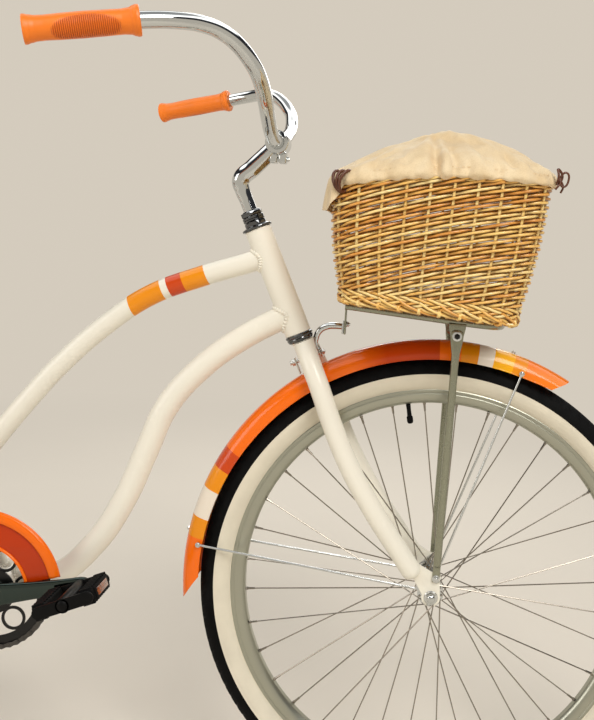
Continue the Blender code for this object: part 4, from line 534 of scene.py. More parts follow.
def banded_paint(name, hub, bands):
    """Fender paint in bands by angle round its wheel, in degrees."""
    coat = Finish(name)
    parts = coat.add("ShaderNodeSeparateXYZ", {"Vector": coat.place})
    rise = coat.sum("SUBTRACT", parts.outputs["Z"], hub.z)
    run = coat.sum("SUBTRACT", parts.outputs["X"], hub.x)
    turn = coat.sum("ARCTAN2", rise, run)
    whole = coat.sum("WRAP", turn, 2 * math.pi - 0.6, -0.6)
    colour = bands[0][1]
    for start, end, tone in bands[1:]:
        if start == end:
            part = coat.sum("GREATER_THAN", whole, math.radians(start))
        else:
            part = coat.add("ShaderNodeMapRange", {"Value": whole, "From Min": math.radians(start),
                                                   "From Max": math.radians(end)}).outputs[0]
        colour = coat.mix(part, colour, tone)
    drift = coat.ramp(coat.noise(7, 3), [(0.3, (0.93, 0.93, 0.93, 1)), (0.7, (1, 1, 1, 1))])
    coat.relief(coat.noise(420, 2), 0.00005, 0.35)
    return coat.dress(coat.mix(1.0, colour, drift, "MULTIPLY"), 0.20, 0.0, 0.25, 0.04, specular=0.3)


def striped_cream():
    """Cream top tube with its amber, white and orange stripes."""
    coat = Finish("striped_top_tube_paint")
    parts = coat.add("ShaderNodeSeparateXYZ", {"Vector": coat.place})
    along = Vector((0.908, 0.0, 0.419))
    first = at(-0.506, 0, 0.421)
    reach = coat.sum("MULTIPLY_ADD", parts.outputs["X"], along.x, -first.dot(along))
    spot = coat.sum("MULTIPLY_ADD", parts.outputs["Z"], along.z, reach)
    share = coat.sum("MULTIPLY_ADD", spot, 1 / 0.2, 0.1)
    stops = [(0.0, CREAM_COLOUR), (0.1, AMBER_COLOUR), (0.1 + 0.0573 / 0.2, CREAM_COLOUR),
             (0.1 + 0.0679 / 0.2, DEEP_COLOUR), (0.1 + 0.0927 / 0.2, AMBER_COLOUR),
             (0.1 + 0.1312 / 0.2, CREAM_COLOUR)]
    coat.relief(coat.noise(420, 2), 0.00005, 0.35)
    drift = coat.ramp(coat.noise(5, 3), [(0.3, (0.96, 0.96, 0.96, 1)), (0.7, (1, 1, 1, 1))])
    colour = coat.mix(1.0, coat.ramp(share, stops, True), drift, "MULTIPLY")
    return coat.dress(colour, 0.30, 0.0, 0.25, 0.05, specular=0.35)


def tyre_rubber(name, hub):
    """Black tread and cream-white side wall, split by radius."""
    skin = Finish(name)
    flat = skin.add("ShaderNodeMapping", {"Vector": skin.place, "Location": (-hub.x, 0, -hub.z),
                                          "Scale": (1, 0, 1)})
    radius = skin.add("ShaderNodeVectorMath", {0: flat.outputs[0]}, operation="LENGTH").outputs["Value"]
    share = skin.sum("MULTIPLY_ADD", radius, 1 / 0.06, -0.31 / 0.06)
    white = linear(226, 218, 198)
    dirt = skin.varied(white, 0.05, 30)
    black = skin.varied((0.004, 0.004, 0.004, 1), 0.3, 60)
    edge = skin.ramp(share, [(0.0, (0, 0, 0, 1)), ((0.3432 - 0.31) / 0.06, (1, 1, 1, 1))], True)
    rings = skin.sum("SINE", skin.sum("MULTIPLY", radius, 2 * math.pi / 0.0016))
    skin.relief(skin.sum("MULTIPLY_ADD", rings, 0.3, skin.noise(900, 2)), 0.00006, 0.5)
    return skin.dress(skin.mix(edge, dirt, black), 0.66, 0.0, 0.0, 0.06, 70, specular=0.07)


def wicker_cane():
    """Varnished willow, each strand in its own tone with streaks along it, and painted shade where its flanks face up
    or down.
    """
    cane = Finish("varnished_willow")
    tone = cane.add("ShaderNodeAttribute", attribute_name="tone").outputs["Fac"]
    base = cane.ramp(tone, [(0.0, linear(222, 150, 60)), (0.35, linear(243, 189, 96)),
                            (0.7, linear(252, 213, 126)), (1.0, linear(255, 231, 162))])
    streak = cane.ramp(cane.noise(90, 5, cane.stretched((1.0, 1.0, 6.0))),
                       [(0.28, (0.62, 0.50, 0.36, 1)), (0.55, (1, 1, 1, 1))])
    cane.relief(cane.noise(500, 3, cane.stretched((0.3, 0.3, 2.0))), 0.0002, 0.5)
    # painted shade: strands darken to brown where they face up or down, as in the shaded gaps between rows
    flank_shade = cane.add("ShaderNodeAttribute", attribute_name="flank_shade").outputs["Fac"]
    painted_flank_shade = cane.ramp(flank_shade, [(0.50, (1, 1, 1, 1)), (0.86, (0.30, 0.17, 0.07, 1))])
    tinted = cane.mix(0.85, base, streak, "MULTIPLY")
    return cane.dress(cane.mix(1.0, tinted, painted_flank_shade, "MULTIPLY"), 0.34, 0.0, 0.3, 0.08, 90)


def canvas():
    """Plain-woven natural cotton."""
    cloth = Finish("natural_canvas")
    parts = cloth.add("ShaderNodeSeparateXYZ", {"Vector": cloth.place})
    weft = cloth.sum("SINE", cloth.sum("MULTIPLY", parts.outputs["X"], 2 * math.pi / 0.0011))
    warp = cloth.sum("SINE", cloth.sum("MULTIPLY", parts.outputs["Y"], 2 * math.pi / 0.0011))
    threads = cloth.sum("MULTIPLY", weft, warp)
    slub = cloth.noise(160, 3, cloth.stretched((1, 0.2, 1)))
    cloth.relief(cloth.sum("MULTIPLY_ADD", threads, 0.35, slub), 0.0003, 0.45)
    crumple = cloth.add("ShaderNodeBump", {"Height": cloth.noise(34, 2), "Distance": 0.007, "Strength": 0.5})
    cloth.feed(cloth.nodes["Bump"].inputs["Normal"], crumple.outputs[0])
    tone = cloth.ramp(cloth.noise(22, 5), [(0.3, linear(222, 196, 154)), (0.7, linear(240, 220, 184))])
    fleck = cloth.ramp(cloth.noise(700, 2), [(0.32, (0.90, 0.88, 0.82, 1)), (0.5, (1, 1, 1, 1))])
    return cloth.dress(cloth.mix(1.0, tone, fleck, "MULTIPLY"), 0.86, 0.0, 0.0, 0.04, 60, 0.25, 0.2)


def leather(name, colour, scale=320, depth=0.0003, rough=0.42):
    """Grained leather, darker in the creases: painted shade."""
    hide = Finish(name)
    cells = hide.add("ShaderNodeTexVoronoi", {"Vector": hide.place, "Scale": scale}, feature="DISTANCE_TO_EDGE")
    crease = hide.sum("MINIMUM", hide.sum("MULTIPLY", cells.outputs["Distance"], 6.0), 1.0)
    hide.relief(crease, depth, 0.55)
    shade = hide.ramp(crease, [(0.0, (0.55, 0.52, 0.50, 1)), (0.6, (1, 1, 1, 1))])
    return hide.dress(hide.mix(1.0, hide.varied(colour, 0.18, 18), shade, "MULTIPLY"), rough, 0.0, 0.1, 0.08, 40)


def amber_lens():
    """Amber reflector with its moulded prisms."""
    lens = Finish("amber_reflector_lens")
    cells = lens.add("ShaderNodeTexVoronoi", {"Vector": lens.place, "Scale": 330})
    lens.relief(cells.outputs["Distance"], 0.0006, 0.8)
    tone = lens.ramp(cells.outputs["Distance"], [(0.0, linear(176, 90, 12)), (0.8, linear(84, 34, 4))])
    return lens.dress(tone, 0.12, 0.0, 0.8, 0.03)


def grip_rubber():
    """Orange rubber whose ribbed field is darkened to a red-brown, painted shade that is deepest in the rib grooves."""
    skin = Finish("orange_grip_rubber")
    rib = skin.add("ShaderNodeAttribute", attribute_name="rib").outputs["Fac"]
    plain = skin.varied(linear(243, 124, 20), 0.06, 25)
    skin.relief(skin.noise(900, 3), 0.00005, 0.6)
    return skin.dress(skin.mix(rib, plain, linear(150, 44, 8)), 0.42, 0.0, 0.0, 0.05, 50)


ORANGE_RUBBER = grip_rubber()
SILVER = silver_paint()
TOP_TUBE_PAINT = striped_cream()
WICKER = wicker_cane()
CANVAS = canvas()
STRAP_LEATHER = leather("dark_strap_leather", linear(96, 50, 24), 500, 0.0002)
SADDLE_LEATHER = leather("saddle_cover", linear(118, 66, 34), 360, 0.00035, 0.45)
STITCH = moulded("stitch_thread", linear(226, 200, 158), 0.7, 1200)
LENS = amber_lens()
# The deep orange from 91.5° that fades back to orange between 104° and 113° is painted shade on the fender's top; the
# other bands are painted stripes.
FRONT_BANDS = banded_paint("front_fender_paint", HUB, [
    (0, BRIGHT_COLOUR), (70.7, 70.7, AMBER_COLOUR), (73.8, 73.8, YELLOW_COLOUR), (78.6, 78.6, BAND_WHITE),
    (82.3, 82.3, AMBER_COLOUR), (86.4, 86.4, ORANGE_COLOUR), (91.5, 91.5, DEEP_COLOUR), (104, 113, ORANGE_COLOUR),
    (148.4, 148.4, DEEP_COLOUR), (153.5, 153.5, AMBER_COLOUR), (159.0, 159.0, BAND_WHITE),
    (166.1, 166.1, AMBER_COLOUR), (171.0, 171.0, ORANGE_COLOUR)])
REAR_BANDS = banded_paint("rear_fender_paint", REAR, [
    (0, ORANGE_COLOUR), (96, 96, AMBER_COLOUR), (100, 100, BAND_WHITE), (104, 104, YELLOW_COLOUR),
    (111, 111, ORANGE_COLOUR), (148.4, 148.4, DEEP_COLOUR), (153.5, 153.5, AMBER_COLOUR),
    (159.0, 159.0, BAND_WHITE), (166.1, 166.1, AMBER_COLOUR), (171.0, 171.0, ORANGE_COLOUR)])


# Frame tubes

def bead_round(name, first, way, radius, post, axis, post_radius):
    """Welded bead where a tube of a radius meets a round post."""
    way = way.normalized()
    aside = way.cross(axis).normalized()
    points = []
    for start in oval(first, aside, aside.cross(way).normalized(), radius, radius, 240):
        low, high = 0.0, 0.12
        for _ in range(24):
            middle = (low + high) / 2
            spot = start + way * middle - post
            if (spot - axis * spot.dot(axis)).length < post_radius:
                low = middle
            else:
                high = middle
        points.append(start + way * low)
    swell = [1.0 + 0.26 * math.sin(2 * math.pi * step / 8) for step in range(240)]
    return swept(name, points, 0.0031, 10, 1, swell, True, True)


def build_frame():
    """Head tube, curved tubes, seat tube, shell and rear triangle."""
    head = turned("head_tube_painted", both_ends(0.4525, 0.630, 0.021, 0.0151), on_steerer(0), STEER_UP, 72)
    settle(head, CREAM, "head_tube")
    top = [on_steerer(0.583), *in_plane((-0.318, 0.498), (-0.396, 0.470), (-0.475, 0.435), (-0.544, 0.383),
                                        (-0.614, 0.314), (-0.660, 0.258), (-0.708, 0.194)), seat_axis(0.180)]
    settle(swept("top_tube_painted", top, 0.0166, 36, 12), TOP_TUBE_PAINT, "top_tube")
    down = [on_steerer(0.487), *in_plane((-0.327, 0.374), (-0.388, 0.323), (-0.438, 0.259), (-0.467, 0.185),
                                         (-0.499, 0.103), (-0.544, 0.028), (-0.603, -0.026)), CRANK]
    settle(swept("down_tube_painted", down, 0.0194, 36, 12), CREAM, "down_tube")
    settle(copied("seat_tube", 0.0006), CREAM, "seat_tube")
    settle(turned("bb_shell_painted", both_ends(-0.034, 0.034, 0.028, 0.0256), CRANK, Y, 72), CREAM, "bb_shell")
    welds = [bead_round("weld_top", on_steerer(0.583), top[1] - top[0], 0.0170, on_steerer(0), STEER_UP, 0.0206),
             bead_round("weld_down", on_steerer(0.487), down[1] - down[0], 0.0199, on_steerer(0), STEER_UP, 0.0206),
             bead_round("weld_seat_top", seat_axis(0.180), top[-2] - top[-1], 0.0168, CRANK, SEAT_UP, 0.0156),
             bead_round("weld_shell_down", CRANK, down[-2] - CRANK, 0.0197, CRANK, Y, 0.0276),
             bead_round("weld_shell_seat", CRANK, SEAT_UP, 0.0162, CRANK, Y, 0.0276)]
    fit("weld_beads", welds, CREAM, "head_tube")
    for side, label in SIDES:
        build_rear_stay(side, label)


def both_ends(low, high, radius, bore, ease=0.0008):
    """Section of a pipe with eased rims."""
    return [(radius, high - ease), (radius, low + ease), (radius - ease, low), (bore, low), (bore, high),
            (radius - ease, high)]


def build_rear_stay(side, label):
    """Chainstay, seatstay and dropout of one side."""
    end_y = 0.061
    span = CRANK.x - REAR.x
    path = [CRANK + Vector((-0.004, side * 0.020, 0))]
    for back, out in ((0.060, 0.0245), (0.096, 0.0315), (0.135, 0.0435), (0.200, 0.048), (span - 0.1413, 0.0605),
                      (span - 0.0463, end_y)):
        path.append(CRANK + Vector((-back, side * out, 0.044 * back / span)))
    lower = swept("chainstay", path, 0.0094, 24, 6)
    top = seat_axis(0.368, side * 0.0225)
    foot = REAR + Vector((0.022, side * end_y, 0.034))
    knee = top.lerp(foot, 0.12)
    knee.y = side * 0.0435
    upper = swept("seatstay", [top, knee, foot], 0.0079, 24, 1, straight=True)
    lug = [(0.056, -0.014), (0.060, 0.004), (0.040, 0.036), (0.026, 0.044), (0.012, 0.036), (-0.012, 0.020),
           (-0.022, 0.009), (-0.022, 0.0055)] + arc(0.0055, 90, -90, 9) + [(-0.022, -0.0055), (-0.022, -0.010),
                                                                         (-0.010, -0.018), (0.020, -0.020)]
    end = plate("dropout", [lug], 0.005, REAR + Y * side * 0.0585, 0.0006)
    fit("rear_stay_painted_" + label, [lower, upper, end], CREAM, "rear_stay_" + label)


# Headset, fork and what it carries

def build_fork():
    """Steerer with crown, two curved blades and their ends."""
    crown = turned("fork_crown_painted", [(0, 0.6585), (0.0127, 0.6585), (0.0127, 0.4404), (0.0172, 0.4404),
                                          (0.0174, 0.4385), (0.0150, 0.4380), (0.0150, 0.4000), (0, 0.398)],
                   on_steerer(0), STEER_UP, 48)
    settle(crown, CREAM, "fork_steerer")
    for side, label in SIDES:
        path = [(-0.226, 0.010, 0.386), (-0.217, 0.030, 0.366), (-0.206, 0.045, 0.344), (-0.192, 0.0545, 0.315),
                (-0.172, 0.056, 0.266), (-0.141, 0.056, 0.200), (-0.098, 0.056, 0.130), (-0.057, 0.056, 0.0735),
                (-0.033, 0.056, 0.041)]
        blade = swept("blade", [at(x, side * y, z) for x, y, z in path], 0.0158, 32, 8)
        edit(blade, lambda: bpy.ops.mesh.bisect(plane_co=on_steerer(0.4393), plane_no=STEER_UP,
                                                clear_outer=True, use_fill=True))
        run = (at(-0.033, 0, 0.041) - at(-0.057, 0, 0.072)).normalized()
        tip = turned("tip", [(0, 0.0)] + [(0.0157 * math.sin(a), -0.0130 + 0.0130 * math.cos(a))
                                          for a in (math.pi / 16 * i for i in range(1, 9))] + [(0, -0.0135)],
                     at(-0.033, side * 0.056, 0.041) + run * 0.0130, run, 32)
        outline = arc(0.0078, 110, -35, 9, (0.006, 0.031)) + arc(0.0145, 20, -64, 7)
        outline += [(0.0055, -0.0130)] + arc(0.0055, 0, 180, 11) + [(-0.0055, -0.0130)] + arc(0.0145, 244, 165, 7)
        outline += [(-0.030, 0.030), (-0.036, 0.044), (-0.020, 0.050), (-0.004, 0.041)]
        end = plate("fork_end", [outline], 0.005, at(0, side * 0.0525, 0), 0.0007)
        fit("fork_blade_painted_" + label, [smooth(blade, 40), tip, end], CREAM, "fork_blade_" + label)


def build_headset():
    """Dark chrome rings above and below the head tube."""
    low, high = 0.4522, 0.6303
    lower = [(0.0148, low + 0.009), (0.0148, low), (0.0212, low), (0.0224, low - 0.0012), (0.0225, low - 0.0036),
             (0.0215, low - 0.0046), (0.0212, low - 0.0060), (0.0216, low - 0.0072), (0.0212, low - 0.0084),
             (0.0196, low - 0.0115), (0.0178, low - 0.0115), (0.0178, low - 0.004), (0.0136, low - 0.003)]
    upper = [(0.0160, 0.6427), (0.0172, 0.6422), (0.0174, 0.6405), (0.0174, high + 0.0062), (0.0200, high + 0.0050),
             (0.0240, high + 0.0034), (0.0243, high + 0.0022), (0.0240, high + 0.0004), (0.0234, high),
             (0.0148, high), (0.0148, high - 0.009), (0.0136, high - 0.009), (0.0136, 0.6427)]
    cone = [(0.0152, 0.6520), (0.0166, 0.6518), (0.0174, 0.6508), (0.0174, 0.6478), (0.0168, 0.6472),
            (0.0174, 0.6466), (0.0174, 0.6450), (0.0160, 0.6431), (0.0131, 0.6431), (0.0131, 0.6520)]
    for label, node, profile in (("lower", "lower_cup", lower), ("upper", "upper_cup", upper), ("cone", "cone", cone)):
        settle(turned(f"headset_{label}_ring", profile, on_steerer(0), STEER_UP, 72, 28), DARK_CHROME,
               "headset_" + node)
    nut = rod("headset_nut", on_steerer(0.6523), on_steerer(0.6595), 0.032 / math.sqrt(3), 6, None, 0.0008)
    dome = turned("headset_nut_dome", [(0.0112, 0.6612), (0.0136, 0.6610), (0.0152, 0.6596), (0.0152, 0.6588),
                                       (0.0112, 0.6588)], on_steerer(0), STEER_UP, 48)
    fit("headset_locknut_dressed", [nut, dome], DARK_CHROME, "headset_locknut")
    balls = []
    for spot in oval(on_steerer(0.4454), STEER_AHEAD, Y, 0.0154, 0.0154, 20):
        pick_none()
        bpy.ops.mesh.primitive_uv_sphere_add(segments=10, ring_count=6, radius=0.0016, location=spot)
        balls.append(bpy.context.object)
        bpy.ops.object.transform_apply(location=True, rotation=True, scale=True)
    settle(smooth(joined("headset_balls", balls), 60), STAINLESS, "headset_lower_bearing")


def hex_bolt(name, start, way, radius=0.0046, height=0.0042, washer=0.0):
    """Hexagon head with a domed top, on a washer where one is given."""
    way = way.normalized()
    parts = []
    if washer:
        parts.append(rod(name + "_washer", start, start + way * 0.0010, washer, 28, None, 0.0002))
        start = start + way * 0.0010
    parts.append(rod(name, start, start + way * height, radius, 6, None, 0.0004))
    parts.append(rod(name + "_end", start, start + way * (height + 0.0012), radius * 0.62, 20, radius * 0.5, 0.0002))
    return parts


def build_crown_pieces():
    """Bolt through the crown and the bent hook that holds the rack."""
    bolt = [rod("crown_shank", on_steerer(CROWN_BOLT, 0.024), on_steerer(CROWN_BOLT, -0.030), 0.0030, 16)]
    bolt += hex_bolt("crown_head", on_steerer(CROWN_BOLT, 0.0243), STEER_AHEAD, 0.0052, 0.0040)
    bolt += hex_bolt("crown_nut", on_steerer(CROWN_BOLT, -0.0191), -STEER_AHEAD, 0.0062, 0.0062, 0.0075)
    bolt.append(block("crown_tab", on_steerer(0.405, -0.0201), (0.0020, 0.015, 0.027), STEER_UP, 0.0005))
    fit("crown_bolt_dressed", bolt, ZINC, "crown_bolt")
    eye = turned("hook_eye", [(0.0072, 0.0016), (0.0082, 0.0008), (0.0082, -0.0008), (0.0072, -0.0016),
                              (0.0033, -0.0016), (0.0033, 0.0016)], on_steerer(CROWN_BOLT, 0.0222), STEER_AHEAD, 32)
    path = [on_steerer(0.4165, 0.0222), *in_plane((-0.2050, 0.374), (-0.2055, 0.385), (-0.2010, 0.3965),
                                                  (-0.1900, 0.4040), (-0.1770, 0.4062), (-0.1645, 0.4058))]
    bar = swept("hook_bar", path, 0.0050, 20, 8, [0.55, 0.75, 0.95, 1.05, 1.08, 1.08, 1.0])
    pad = block("hook_pad", at(-0.1640, 0, 0.4050), (0.0030, 0.015, 0.021), Z, 0.0008)
    screw = [rod("hook_screw", at(-0.1650, 0, 0.410), at(-0.1530, 0, 0.410), 0.0022, 12)]
    screw += hex_bolt("hook_nut", at(-0.1590, 0, 0.410), X, 0.0042, 0.0032, 0.0052)
    fit("rack_hook_dressed", [eye, bar, pad] + screw, CHROME, "rack_hook")


def build_rack():
    """Silver rack with round strut lugs and its hook strip."""
    half = 0.068

    def level(x):
        return 0.4425 + (0.4222 - 0.4425) * (x + 0.159) / 0.263

    outline = [(-0.159, half), (-0.079, half), (0.000, half), (0.024, half), (0.046, half - 0.003),
               (0.064, half - 0.012), (0.078, half - 0.032), (0.084, 0)]
    path = [at(x, y, level(x)) for x, y in outline] + [at(x, -y, level(x)) for x, y in outline[-2::-1]]
    parts = [swept("rack_tube", path, 0.0055, 20, 8)]
    for x in (-0.155, -0.080, 0.0):
        parts.append(rod("rack_cross", at(x, -half, level(x)), at(x, half, level(x)), 0.0045, 20))
    parts.append(block("rack_strip", at(-0.1606, 0, (level(-0.159) + 0.394) / 2),
                       (0.0028, 0.020, level(-0.159) - 0.394), Z, 0.0008))
    for side, _ in SIDES:
        lug = arc(0.0098, 195, 345, 13) + [(0.0125, 0.012), (0.013, 0.0185), (-0.013, 0.0185), (-0.0125, 0.012)]
        parts.append(plate("rack_lug", [lug, arc(0.0028, 0, 345, 16)], 0.003, at(0.012, side * 0.0735, 0.408)))
    fit("rack_dressed", parts, SILVER, "front_rack")
    for side, label in SIDES:
        build_strut(side, label)


def build_strut(side, label):
    """Strut with its widened top, crimped foot and both bolts."""
    top = at(0.012, side * 0.0768, 0.408)
    foot = at(0.006, side * 0.0568, 0.031)
    run = (top - foot).normalized()
    steps = [(0.020, 0.0058, 0.0058), (0.024, 0.0060, 0.0060), (0.330, 0.0060, 0.0060), (0.350, 0.0064, 0.0052),
             (0.362, 0.0082, 0.0028), (0.370, 0.0094, 0.0016), (0.377, 0.0098, 0.0015), (0.384, 0.0086, 0.0015),
             (0.3868, 0.0040, 0.0014)]
    aside = run.cross(Y).normalized()
    out = aside.cross(run).normalized()
    tube = grid("strut_tube", [oval(foot + run * reach, aside, out, wide, thick, 28) for reach, wide, thick in steps],
                False, True)
    edit(tube, fill_ends)
    lean = Vector((run.x, 0, run.z))
    tab = block("strut_foot", foot + lean * 0.010, (0.0115, 0.0026, 0.032), lean, 0.0011)
    fit("rack_strut_dressed_" + label, [tube, tab], SILVER, "rack_strut_" + label)

    def upper(aside):
        return at(0.012, side * aside, 0.408)

    def lower(aside):
        return at(0.006, side * aside, 0.031)

    bolts = [rod("bolt", upper(0.0695), upper(0.0798), 0.0024, 12),
             rod("bolt", lower(0.0458), lower(0.0598), 0.0024, 12)]
    bolts += hex_bolt("foot_bolt", lower(0.0583), Y * side, 0.0046, 0.0022, 0.0062)
    bolts += hex_bolt("inner_nut", upper(0.0720), Y * -side, 0.0046, 0.0030)
    bolts.append(rod("top_washer", upper(0.0783), upper(0.0794), 0.0074, 32, None, 0.0003))
    fit("rack_strut_bolts_" + label, bolts, CHROME, "rack_strut_" + label)
    heads = hex_bolt("top_bolt", upper(0.0794), Y * side, 0.0047, 0.0026)
    # painted shade: a black disc at the tube's foot end stands for the shadow in its open mouth
    heads.append(rod("tube_mouth_shade", foot + run * 0.0193, foot + run * 0.0202, 0.0045, 24))
    fit("rack_strut_heads_" + label, heads, BLACK_STEEL, "rack_strut_" + label)


def build_stem_and_bar():
    """Quill stem, swept bar and the two grips."""
    clamp = at(-0.284, 0, 0.688)
    path = [on_steerer(height) for height in (0.575, 0.640, 0.678, 0.6960)]
    path += in_plane((-0.3398, 0.6265), (-0.3225, 0.6464), (-0.3030, 0.6670), (-0.290, 0.6815))
    neck = swept("stem_neck", path, 0.0111, 36, 10, [1, 1, 1, 1.10, 1.28, 1.30, 1.26, 1.20])
    barrel = turned("stem_barrel", [(0.0175, 0.022), (0.0185, 0.0208), (0.0185, -0.0208), (0.0175, -0.022),
                                    (0.0116, -0.022), (0.0116, 0.022)], clamp, Y, 56)
    middle = clamp + Vector((0.002, 0, -0.0225))
    ears = [block("stem_ear", middle + X * shift, (0.0116, 0.023, 0.019), Z, 0.0022) for shift in (-0.0071, 0.0071)]
    bolt = [rod("stem_bolt", middle + Vector((-0.0155, 0, -0.002)), middle + Vector((0.0165, 0, -0.002)), 0.0028, 16)]
    bolt += hex_bolt("stem_bolt_head", middle + Vector((0.0129, 0, -0.002)), X, 0.0044, 0.0034)
    fit("stem_dressed", [neck, barrel] + ears + bolt, CHROME, "stem")
    half = [(0.0, -0.284, 0.688), (0.035, -0.284, 0.688), (0.060, -0.286, 0.6915), (0.122, -0.286, 0.712),
            (0.160, -0.285, 0.727), (0.195, -0.288, 0.749), (0.222, -0.296, 0.7675), (0.246, -0.3145, 0.789),
            (0.262, -0.332, 0.800), (0.282, -0.355, 0.805), (0.304, -0.383, 0.803), (0.3225, -0.4220, 0.7970),
            (0.3550, -0.5530, 0.7713)]
    points = [at(x, -y, z) for y, x, z in half[:0:-1]] + [at(x, y, z) for y, x, z in half]
    settle(swept("handlebar_dressed", points, 0.0110, 32, 8), CHROME, "handlebar")
    for side, label in SIDES:
        (y0, x0, z0), (y1, x1, z1) = half[-2:]
        inner, outer = at(x0, side * y0, z0), at(x1, side * y1, z1)
        run = (outer - inner).normalized()
        build_grip(side, label, inner + run * 0.002, run)


def build_grip(side, label, start, run):
    """Grip with flared ends and fine ribs in an oval field on its outer side."""
    around = 56
    body = [(0.0, 0.0182), (0.0010, 0.0196), (0.0040, 0.0199), (0.0075, 0.0188), (0.0130, 0.0166), (0.022, 0.0157),
            (0.040, 0.0160), (0.070, 0.0165), (0.100, 0.0160), (0.116, 0.0154), (0.126, 0.0158), (0.133, 0.0170),
            (0.1385, 0.0184), (0.1402, 0.0186), (0.1410, 0.0178)]
    aside = (Y * side - run * (Y * side).dot(run)).normalized()
    over = run.cross(aside)
    rows = [oval(start, aside, over, 0.0116, 0.0116, around)]
    painted_rib_shade = [0.0] * around
    for reach in (0.0005 * station for station in range(283)):
        for (a, ra), (b, rb) in zip(body, body[1:]):
            if a <= reach <= b:
                share = (reach - a) / (b - a)
                share = share * share * (3 - 2 * share) if abs(rb - ra) > 0.001 else share
                radius = ra + (rb - ra) * share
                break
        row = []
        cut = 0.5 + 0.5 * math.cos(2 * math.pi * reach / 0.0025)
        for turn in turns(around):
            lean = math.atan2(math.sin(turn), math.cos(turn))
            field = ((reach - 0.066) / 0.044) ** 2 + ((lean - 0.60 * side) / 1.30) ** 2
            inside = max(0.0, min(1.0, (1.0 - field) * 6))
            deep = radius - 0.0010 * inside * cut
            # painted shade: the oval field darkens, deepest where the ribs are cut
            painted_rib_shade.append(inside * (0.14 + 0.62 * cut))
            row.append(start + run * reach + (aside * math.cos(turn) + over * math.sin(turn)) * deep)
        rows.append(row)
    rows.append(oval(start + run * 0.1412, aside, over, 0.004, 0.004, around))
    grip = grid("grip_dressed_" + label, rows, False, True, 60)
    layer = grip.data.attributes.new("rib", "FLOAT", "POINT")
    layer.data.foreach_set("value", painted_rib_shade + [0.0] * (len(grip.data.vertices) - len(painted_rib_shade)))
    edit(grip, fill_ends, outward)
    settle(grip, ORANGE_RUBBER, "grip_" + label)


# Wheels

def tyre_radius(y):
    """Outer radius of the tyre at a distance from its middle plane, on the tread side."""
    table = [(0.0, 0.3672), (0.006, 0.3672), (0.0118, 0.3660), (0.016, 0.3635), (0.0205, 0.3590), (0.024, 0.3535),
             (0.0262, 0.3480), (0.0270, 0.3434)]
    for (a, ra), (b, rb) in zip(table, table[1:]):
        if y <= b:
            return ra + (rb - ra) * (y - a) / (b - a)
    return table[-1][1]


def build_tyre(prefix, hub):
    """Tyre with grooved tread, angled shoulder cuts and a white side wall."""
    stations = [0.0, 0.0048, 0.0051, 0.0066, 0.0069, 0.0092, 0.0095, 0.0118, 0.014, 0.0160, 0.0182, 0.0205,
                0.0222, 0.0225, 0.024, 0.0262, 0.0270]
    wall = [(0.0267, 0.3428), (0.0266, 0.3400), (0.0258, 0.3350), (0.0232, 0.3290), (0.0196, 0.3235),
            (0.0172, 0.3205), (0.0163, 0.3199), (0.0152, 0.3196), (0.0144, 0.3181), (0.0131, 0.3174)]
    half = [(y, tyre_radius(y), number) for number, y in enumerate(stations)]
    half += [(y, r, None) for y, r in wall]
    section = [(-y, r, n) for y, r, n in reversed(half)] + half[1:]
    rows = []
    for i, turn in enumerate(turns(960)):
        row = []
        for y, radius, number in section:
            if number is not None and 6 <= number <= 12:
                radius -= 0.0017 if (i + (abs(y) - 0.009) * 420) % 8 < 2 else 0.0
            elif number in (2, 3):
                radius -= 0.0016
            row.append(hub + Vector((math.cos(turn) * radius, y, math.sin(turn) * radius)))
        rows.append(row)
    piece = grid(prefix + "_tyre_dressed", rows, True, False, 28)
    settle(piece, tyre_rubber(prefix + "_tyre_rubber", hub), prefix + "_tyre")


def build_rim(prefix, hub):
    """Rim with bright flanges, a shallow groove and a rounded inner face."""
    side = [(0.3164, 0.0128), (0.3176, 0.0134), (0.3179, 0.0146), (0.3170, 0.0150), (0.3138, 0.0149),
            (0.3130, 0.0143), (0.3118, 0.0143), (0.3108, 0.0147), (0.3056, 0.0142), (0.3008, 0.0124),
            (0.2972, 0.0094), (0.2954, 0.0058), (0.2950, 0.0)]
    rim = turned(prefix + "_rim_dressed", both(side[:-1]), hub, Y, 160, 24)
    settle(rim, SATIN_RIM, prefix + "_rim")
    way = heading(VALVE_ANGLE)
    stem = [(0, 0.2632), (0.0026, 0.2632), (0.0040, 0.2640), (0.0046, 0.2655), (0.0048, 0.2668), (0.0048, 0.2738),
            (0.0044, 0.2744), (0.0037, 0.2750), (0.0034, 0.2850), (0.0038, 0.2940), (0.0040, 0.3000), (0, 0.3000)]
    valve = turned("valve", stem, hub, way, 28)
    cap_ribs = [rod("rib", spot, spot + way * 0.0073, 0.0005, 6)
                for spot in oval(hub + way * 0.2665, Y, way.cross(Y), 0.0046, 0.0046, 14)]
    fit(prefix + "_valve", [valve] + cap_ribs, BLACK_RUBBER, prefix + "_inner_tube")


def build_spokes(prefix, hub, flange_y, flange_radius):
    """Crossed spokes with heads and nipples."""
    form = bmesh.new()
    for number in range(SPOKES):
        side = -1 if number % 2 else 1
        leading = (number // 2) % 2 == 0
        rim_angle = VALVE_ANGLE + 360 * (number + 0.5) / SPOKES
        hub_angle = rim_angle + (60 if leading else -60)
        apart = 0.0016 if leading else -0.0016
        start = hub + heading(hub_angle) * (flange_radius - 0.0032) + Y * side * (flange_y + apart)
        end = hub + heading(rim_angle) * 0.2935 + Y * side * (0.0036 + 1.4 * apart)
        way = (end - start).normalized()
        head = start - Y * side * apart * 2.6
        pin(form, start - way * 0.0006, end, 0.00102, 0.00102, 8)
        pin(form, end - way * 0.0115, end - way * 0.0015, 0.0016, 0.0019, 8)
        pin(form, end - way * 0.0015, end + way * 0.0014, 0.0024, 0.0027, 8)
        pin(form, start, head, 0.00105, 0.00105, 8)
        pin(form, head, head - Y * side * math.copysign(0.0009, apart), 0.0018, 0.0014, 8)
    settle(smooth(form_piece(prefix + "_spokes", form), 40), STAINLESS, prefix + "_hub_spokes")


